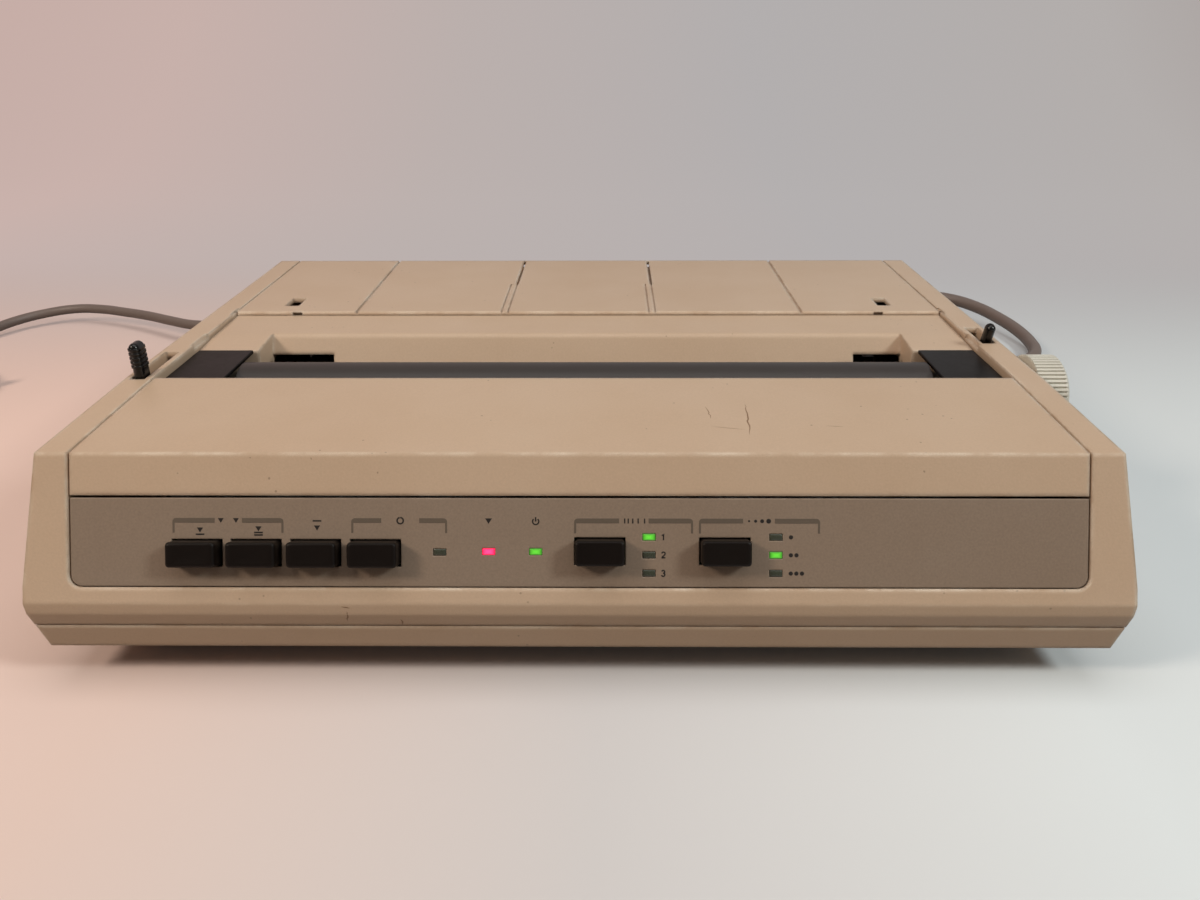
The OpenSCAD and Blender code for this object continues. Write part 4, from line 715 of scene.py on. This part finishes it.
def digit(number, x, s):
    """Strokes of a plain numeral, 2 mm tall, its middle at s."""
    if number == 1:
        lines = [[(0.1, -0.55), (0.6, -1), (0.6, 1)]]
    elif number == 2:
        lines = [arc(0.6, -0.42, 0.55, -80, 110) + [(0.1, 0.85)], [(0.0, 0.87), (1.25, 0.87)]]
    else:
        lines = [arc(0.55, -0.48, 0.48, -75, 180), arc(0.55, 0.46, 0.54, 0, 255)]
    return [stroke([(x + dx, s + ds) for dx, ds in line], DIGIT_LINE) for line in lines]


def pointer(x, s, size):
    """A small triangle that points down the front."""
    return [(x - size, s - 0.8 * size), (x + size, s - 0.8 * size), (x, s + 0.8 * size)]


def bar(x, s):
    return stroke([(x - BAR_W / 2, s), (x + BAR_W / 2, s)], INK_LINE)


def dot(x, s, radius):
    return arc(x, s, radius, 0, 345, 23)


def make_marks(name, outlines, slot):
    """Thin raised ink on the panel, one prism for each outline."""
    shape = bmesh.new()
    for outline in outlines:
        loft(shape, [(outline, INK_FOOT), (outline, INK_TOP)], on_face)
    piece = finish_mesh(name, shape, slot, smooth=False)
    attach(piece, "printer")


# Symbols over the buttons and lamps: their places across the panel and down the sloping front
POINTERS = [(-115.2, 21.8, 0.95), (-110.3, 21.8, 0.95), (-122, 24.9, 1.0), (-103, 24.5, 1.0),
            (-84, 24.2, 1.0), (-28.5, 21.9, 1.1)]
BARS = [(-122, 26.3), (-103, 25.7), (-103, 26.5), (-84, 21.9)]
POWER_X = -13.3
LAMP_ROWS = (27, 32.8, 38.7)
DIGIT_X = 27.3
COUNT_X = 68.9
COUNT_STEP = 1.8
COUNT_R = 0.68


def black_marks():
    marks = [pointer(x, s, size) for x, s, size in POINTERS]
    marks += [bar(x, s) for x, s in BARS]
    marks.append(stroke(arc(-57.05, 21.8, 1.0, 0, 350, 24), INK_LINE))
    marks.append(stroke(arc(POWER_X, 22.0, 1.0, 40, 320, 20), THIN_LINE))
    marks.append(stroke([(POWER_X, 20.6), (POWER_X, 22.0)], THIN_LINE))
    for k in range(5):
        x = 15.4 + k * (1.0 + 0.15 * k)
        marks.append(stroke([(x, 21), (x, 22.6)], 0.4))
    for k in range(4):
        marks.append(dot(55.4 + 2.1 * k, 21.8, 0.35 + 0.14 * k))
    for k, s in enumerate(LAMP_ROWS):
        marks += digit(k + 1, DIGIT_X, s)
        for i in range(k + 1):
            marks.append(dot(COUNT_X + COUNT_STEP * i, s, COUNT_R))
    return marks


halves = [half for a, b, c, d in BRACKETS for half in (half_bracket(a, b), half_bracket(d, c))]
make_marks("panel_brackets", halves, "panel_ink_grey")
make_marks("panel_symbols", black_marks(), "panel_ink_black")


# Scuffs that years of handling have left

SCUFF_RISE = 0.00002


def make_scuff(name, node, starts, way, width):
    """A thin broken scratch that follows a surface, found by looking along one direction."""
    mesh = nodes[node].data
    tree = BVHTree.FromPolygons([v.co for v in mesh.vertices], [list(f.vertices) for f in mesh.polygons])
    spots = []
    for start in starts:
        place, normal = tree.ray_cast(at(*start), Vector(way))[:2]
        if place is not None:
            spots.append((place + normal * SCUFF_RISE, normal))
    shape = bmesh.new()
    rows = []
    for k, (place, normal) in enumerate(spots):
        ahead = spots[min(k + 1, len(spots) - 1)][0] - spots[max(k - 1, 0)][0]
        side = normal.cross(ahead).normalized()
        taper = width * MM / 2 * math.sin(math.pi * (k + 0.6) / (len(spots) + 0.2))
        rows.append((shape.verts.new(place - side * taper), shape.verts.new(place + side * taper)))
    for low, high in zip(rows, rows[1:]):
        shape.faces.new((low[0], low[1], high[1], high[0]))
    piece = finish_mesh(name, shape, "scuff_brown")
    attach(piece, BODY_OF[node])


IN_FRONT = -200
OVER_LID = 100


def drop(x0, z0, x1, z1, sway, count):
    """Points down a slightly crooked line in front of the case."""
    points = []
    for k in range(count + 1):
        t = k / count
        off = sway * math.sin(5.1 * t + 1.7 * math.sin(9 * t))
        points.append((x0 + (x1 - x0) * t + off, IN_FRONT, z0 + (z1 - z0) * t))
    return points


def wander(x0, y0, x1, y1, sway, count):
    """Points along a slightly crooked line over the lid."""
    points = []
    for k in range(count + 1):
        t = k / count
        off = sway * math.sin(7.3 * t + 2.1 * math.sin(11 * t))
        points.append((x0 + (x1 - x0) * t + off, y0 + (y1 - y0) * t - 0.3 * off, OVER_LID))
    return points


DOWN = (0, 0, -1)
BACK = (0, 1, 0)

# Name, first and last point, sway, steps, width
LID_SCRATCHES = [
    ("lid_scratch_long", 58.9, -79, 57.6, -104, 0.3, 14, 0.5),
    ("lid_scratch_short", 44.6, -81, 45.8, -91, 0.3, 8, 0.3),
    ("lid_scratch_cross", 45, -97.5, 56.5, -100, 0.2, 10, 0.22),
    ("lid_scratch_right", 84, -97, 90, -97.6, 0.15, 6, 0.25),
]
LIP_SCUFFS = [
    ("lip_scuff_left", -74.9, 30.4, -75.1, 26.2, 0.3, 9, 0.45),
    ("lip_scuff_top", -76.4, 32.2, -73.6, 31.7, 0.2, 6, 0.4),
    ("lip_scuff_mid", -57.8, 26.9, -57.2, 24.4, 0.3, 7, 0.5),
]

for name, *line, width in LID_SCRATCHES:
    make_scuff(name, "access_cover", wander(*line), DOWN, width)
for name, *line, width in LIP_SCUFFS:
    make_scuff(name, "upper_case", drop(*line), BACK, width)


# Leads, following the same points as the part's own tubes, in millimetres

TURN_STEPS = 24
LOOP_GAP = 0.5
TIE_T = 0.8
MAINS_D = 6.5
DATA_D = 8.0
MAINS_ROUTE = [
    (-118, 164, 33), (-118, 176, 33), (-121, 196, 31), (-131, 214, 28), (-150, 226, 25), (-175, 230, 22),
    (-202, 227, 19), (-230, 222, 17), (-252, 221, 15.5), (-274, 226, 14), (-296, 239, 13), (-317, 252, 12.5),
    (-339, 263, 12), (-361, 271, 12), (-383, 275, 11), (-403, 270, 9), (-417, 257, 7.5), (-425, 242, 6),
    (-431, 226, 5), (-439, 206, 4), (-448, 184, 3.6), (-456, 162, 3.8), (-461, 138, 4.1),
    (-462.5, 126, 4.15),
]
MAINS_TAIL = [(-462.5, 108, 11.1), (-462.5, 98, 11.4), (-462.5, 88, 12), (-462.5, 80, 12)]
DATA_ROUTE = [
    (60, 182, 33), (60, 194, 33), (61, 214, 31), (67, 236, 27), (79, 257, 23), (97, 276, 19), (119, 291, 16),
    (144, 302, 14), (171, 309, 13), (198, 312, 12.5), (225, 311, 12), (248, 306, 12), (266, 296, 12),
    (279, 279, 11), (288, 257, 9), (293, 231, 7), (293, 212, 5.5), (289, 195, 5), (279, 181, 4.6),
    (263, 174, 4.6), (245, 175, 4.7), (226, 181, 4.8), (207, 186, 4.9), (196, 188, 4.9),
]
DATA_TAIL = [(176, 188, 13.3), (166, 188, 11.6), (156, 188, 9), (147, 188, 9)]

# Turns, centre, outer radius of the path, cord, angle where it starts, way round
MAINS_COIL = (5, (-415, 115), 47.5, MAINS_D, 180, 1)
DATA_COIL = (5, (185, 240), 52, DATA_D, 270, -1)


def coil_points(turns, centre, outer, diameter, start, way):
    """Turns that spiral in, climb a layer in half a turn and spiral out again."""
    half = turns / 2
    pitch = diameter + LOOP_GAP
    points = []
    for i in range(turns * TURN_STEPS + 1):
        t = i / TURN_STEPS
        radius = outer - pitch * (half - abs(t - half))
        climb = min(1, max(0, (t - half + 0.25) * 2))
        angle = math.radians(start + way * 360 * t)
        height = diameter / 2 + TIE_T + 0.1 + pitch * climb
        points.append((centre[0] + radius * math.cos(angle), centre[1] + radius * math.sin(angle), height))
    return points


def make_cord(name, points, diameter, replaced):
    curve = bpy.data.curves.new(name, "CURVE")
    curve.dimensions = "3D"
    curve.bevel_depth = diameter / 2 * MM
    curve.bevel_resolution = 5
    curve.resolution_u = 4
    curve.use_fill_caps = True
    spline = curve.splines.new("BEZIER")
    spline.bezier_points.add(len(points) - 1)
    for knot, point in zip(spline.bezier_points, points):
        knot.co = at(*point)
        knot.handle_left_type = knot.handle_right_type = "AUTO"
    piece = new_object(name, curve)
    wear_finish(piece, "cord_rubber")
    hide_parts(*replaced)
    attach(piece, "printer")


make_cord(
    "mains_lead",
    MAINS_ROUTE + coil_points(*MAINS_COIL) + MAINS_TAIL,
    MAINS_D, ["power_cord", "power_cord_coil"],
)
make_cord(
    "interface_cable",
    DATA_ROUTE + coil_points(*DATA_COIL) + DATA_TAIL,
    DATA_D, ["data_cable", "data_cable_coil"],
)


# Floor, backdrop and light

FLOOR_NEAR = 2.5
FLOOR_FAR = 0.8
BACK_H = 2.0
CURVE_R = 0.7
CURVE_STEPS = 12
SHEET_HALF_W = 3.0
# Painted light on the floor: a warm pinkish pool at the left, cooler towards the right.
FLOOR_LIGHT_STOPS = [
    (0.0, tint(246, 216, 206)),
    (0.25, tint(231, 209, 201)),
    (0.5, tint(215, 213, 215)),
    (0.75, tint(229, 236, 240)),
    (1.0, tint(226, 232, 236)),
]
# Painted light on the backdrop: a glow darker than the floor, as if less light reached it, pinkish at the
# left.
BACK_LIGHT_STOPS = [
    (0.0, tint(198, 172, 165)),
    (0.2, tint(199, 176, 170)),
    (0.4, tint(186, 175, 172)),
    (0.6, tint(178, 174, 174)),
    (0.85, tint(178, 173, 171)),
    (1.0, tint(168, 160, 157)),
]
FLOOR_UNSEEN = tint(110, 92, 77)

# How far the painted light spreads to each side, and where the floor turns into the glowing backdrop, in
# metres
FLOOR_SPREAD = 0.32
BACK_SPREAD = 1.15
BACK_FROM = 0.08
BACK_TO = 0.5


def spread_colours(finish, value, low, high, stops):
    """A colour that changes along one coordinate of the sheet."""
    span = finish.add("ShaderNodeMapRange")
    finish.join(value, span.inputs["Value"])
    span.inputs["From Min"].default_value = low
    span.inputs["From Max"].default_value = high
    ramp = finish.add("ShaderNodeValToRGB")
    while len(ramp.color_ramp.elements) < len(stops):
        ramp.color_ramp.elements.new(0.5)
    for element, (place, colour) in zip(ramp.color_ramp.elements, stops):
        element.position = place
        element.color = colour
    finish.join(span.outputs["Result"], ramp.inputs["Fac"])
    return ramp.outputs["Color"]


def greatest(finish, first, second):
    node = finish.add("ShaderNodeMath", operation="MAXIMUM")
    finish.join(first, node.inputs[0])
    finish.join(second, node.inputs[1])
    return node.outputs[0]


def paper_finish():
    """Pale paper with painted light: a warm pinkish pool at the left, a cooler tone at the right, and a
    glowing backdrop painted darker than the floor; brighter to the lens than in its bounce.
    """
    finish = Finish("backdrop_paper", tint(214, 200, 196), 0.8, specular=0.1)
    split = finish.add("ShaderNodeSeparateXYZ")
    finish.join(finish.place, split.inputs["Vector"])
    near = spread_colours(finish, split.outputs["X"], -FLOOR_SPREAD, FLOOR_SPREAD, FLOOR_LIGHT_STOPS)
    far = spread_colours(finish, split.outputs["X"], -BACK_SPREAD, BACK_SPREAD, BACK_LIGHT_STOPS)
    light = finish.add("ShaderNodeLightPath")
    mirrored = greatest(finish, light.outputs["Is Camera Ray"], light.outputs["Is Glossy Ray"])
    seen = greatest(finish, mirrored, light.outputs["Is Transmission Ray"])
    shown = finish.mix_colours(seen, FLOOR_UNSEEN, near)
    back = finish.add("ShaderNodeMapRange", interpolation_type="SMOOTHSTEP")
    finish.join(split.outputs["Y"], back.inputs["Value"])
    back.inputs["From Min"].default_value = BACK_FROM
    back.inputs["From Max"].default_value = BACK_TO
    finish.feed(finish.mix_colours(back.outputs["Result"], shown, (0.0, 0.0, 0.0, 1.0)), "Base Color")
    glow = finish.add("ShaderNodeMath", operation="MULTIPLY")
    finish.join(back.outputs["Result"], glow.inputs[0])
    finish.join(seen, glow.inputs[1])
    finish.feed(far, "Emission Color")
    finish.feed(glow.outputs[0], "Emission Strength")
    return finish


def make_floor():
    """A pale sheet that runs back and curves up behind the object."""
    profile = [(-FLOOR_NEAR, 0.0)]
    for i in range(CURVE_STEPS + 1):
        angle = math.radians(90 * i / CURVE_STEPS)
        profile.append((FLOOR_FAR + CURVE_R * math.sin(angle), CURVE_R - CURVE_R * math.cos(angle)))
    profile.append((FLOOR_FAR + CURVE_R, BACK_H))
    corners = [(side * SHEET_HALF_W, y, z) for y, z in profile for side in (-1, 1)]
    faces = [(2 * i, 2 * i + 1, 2 * i + 3, 2 * i + 2) for i in range(len(profile) - 1)]
    mesh = bpy.data.meshes.new("floor")
    mesh.from_pydata(corners, [], faces)
    for face in mesh.polygons:
        face.use_smooth = True
    floor = new_object("floor", mesh)
    mesh.materials.append(paper_finish().material)


def area_light(name, place, target, width, height, power, colour):
    data = bpy.data.lights.new(name, "AREA")
    data.shape = "RECTANGLE"
    data.size = width
    data.size_y = height
    data.energy = power
    data.color = colour
    light = new_object(name, data)
    light.location = place
    light.rotation_euler = (Vector(target) - Vector(place)).to_track_quat("-Z", "Y").to_euler()


def make_world(colour, strength):
    world = bpy.data.worlds.new("world")
    world.use_nodes = True
    backdrop = world.node_tree.nodes["Background"]
    backdrop.inputs["Color"].default_value = colour
    backdrop.inputs["Strength"].default_value = strength
    bpy.context.scene.world = world


# Name, place, what it points at, width, height, watts, colour
LIGHTS = [
    ("left_softbox", (-1.0, -0.62, 0.9), (0.0, 0.0, 0.05), 0.3, 0.3, 8.2, (1.0, 0.83, 0.68)),
    ("right_softbox", (1.05, -0.6, 0.95), (0.0, 0.0, 0.05), 0.3, 0.3, 8.8, (0.95, 1.0, 0.97)),
    ("top_softbox", (0.0, -0.12, 1.25), (0.0, -0.05, 0.0), 1.2, 0.7, 4.9, (1.0, 0.98, 0.96)),
]

make_camera()
make_floor()
for light in LIGHTS:
    area_light(*light)
make_world((1.0, 0.9, 0.8, 1.0), 0.17)

bpy.context.scene.view_settings.view_transform = "Standard"
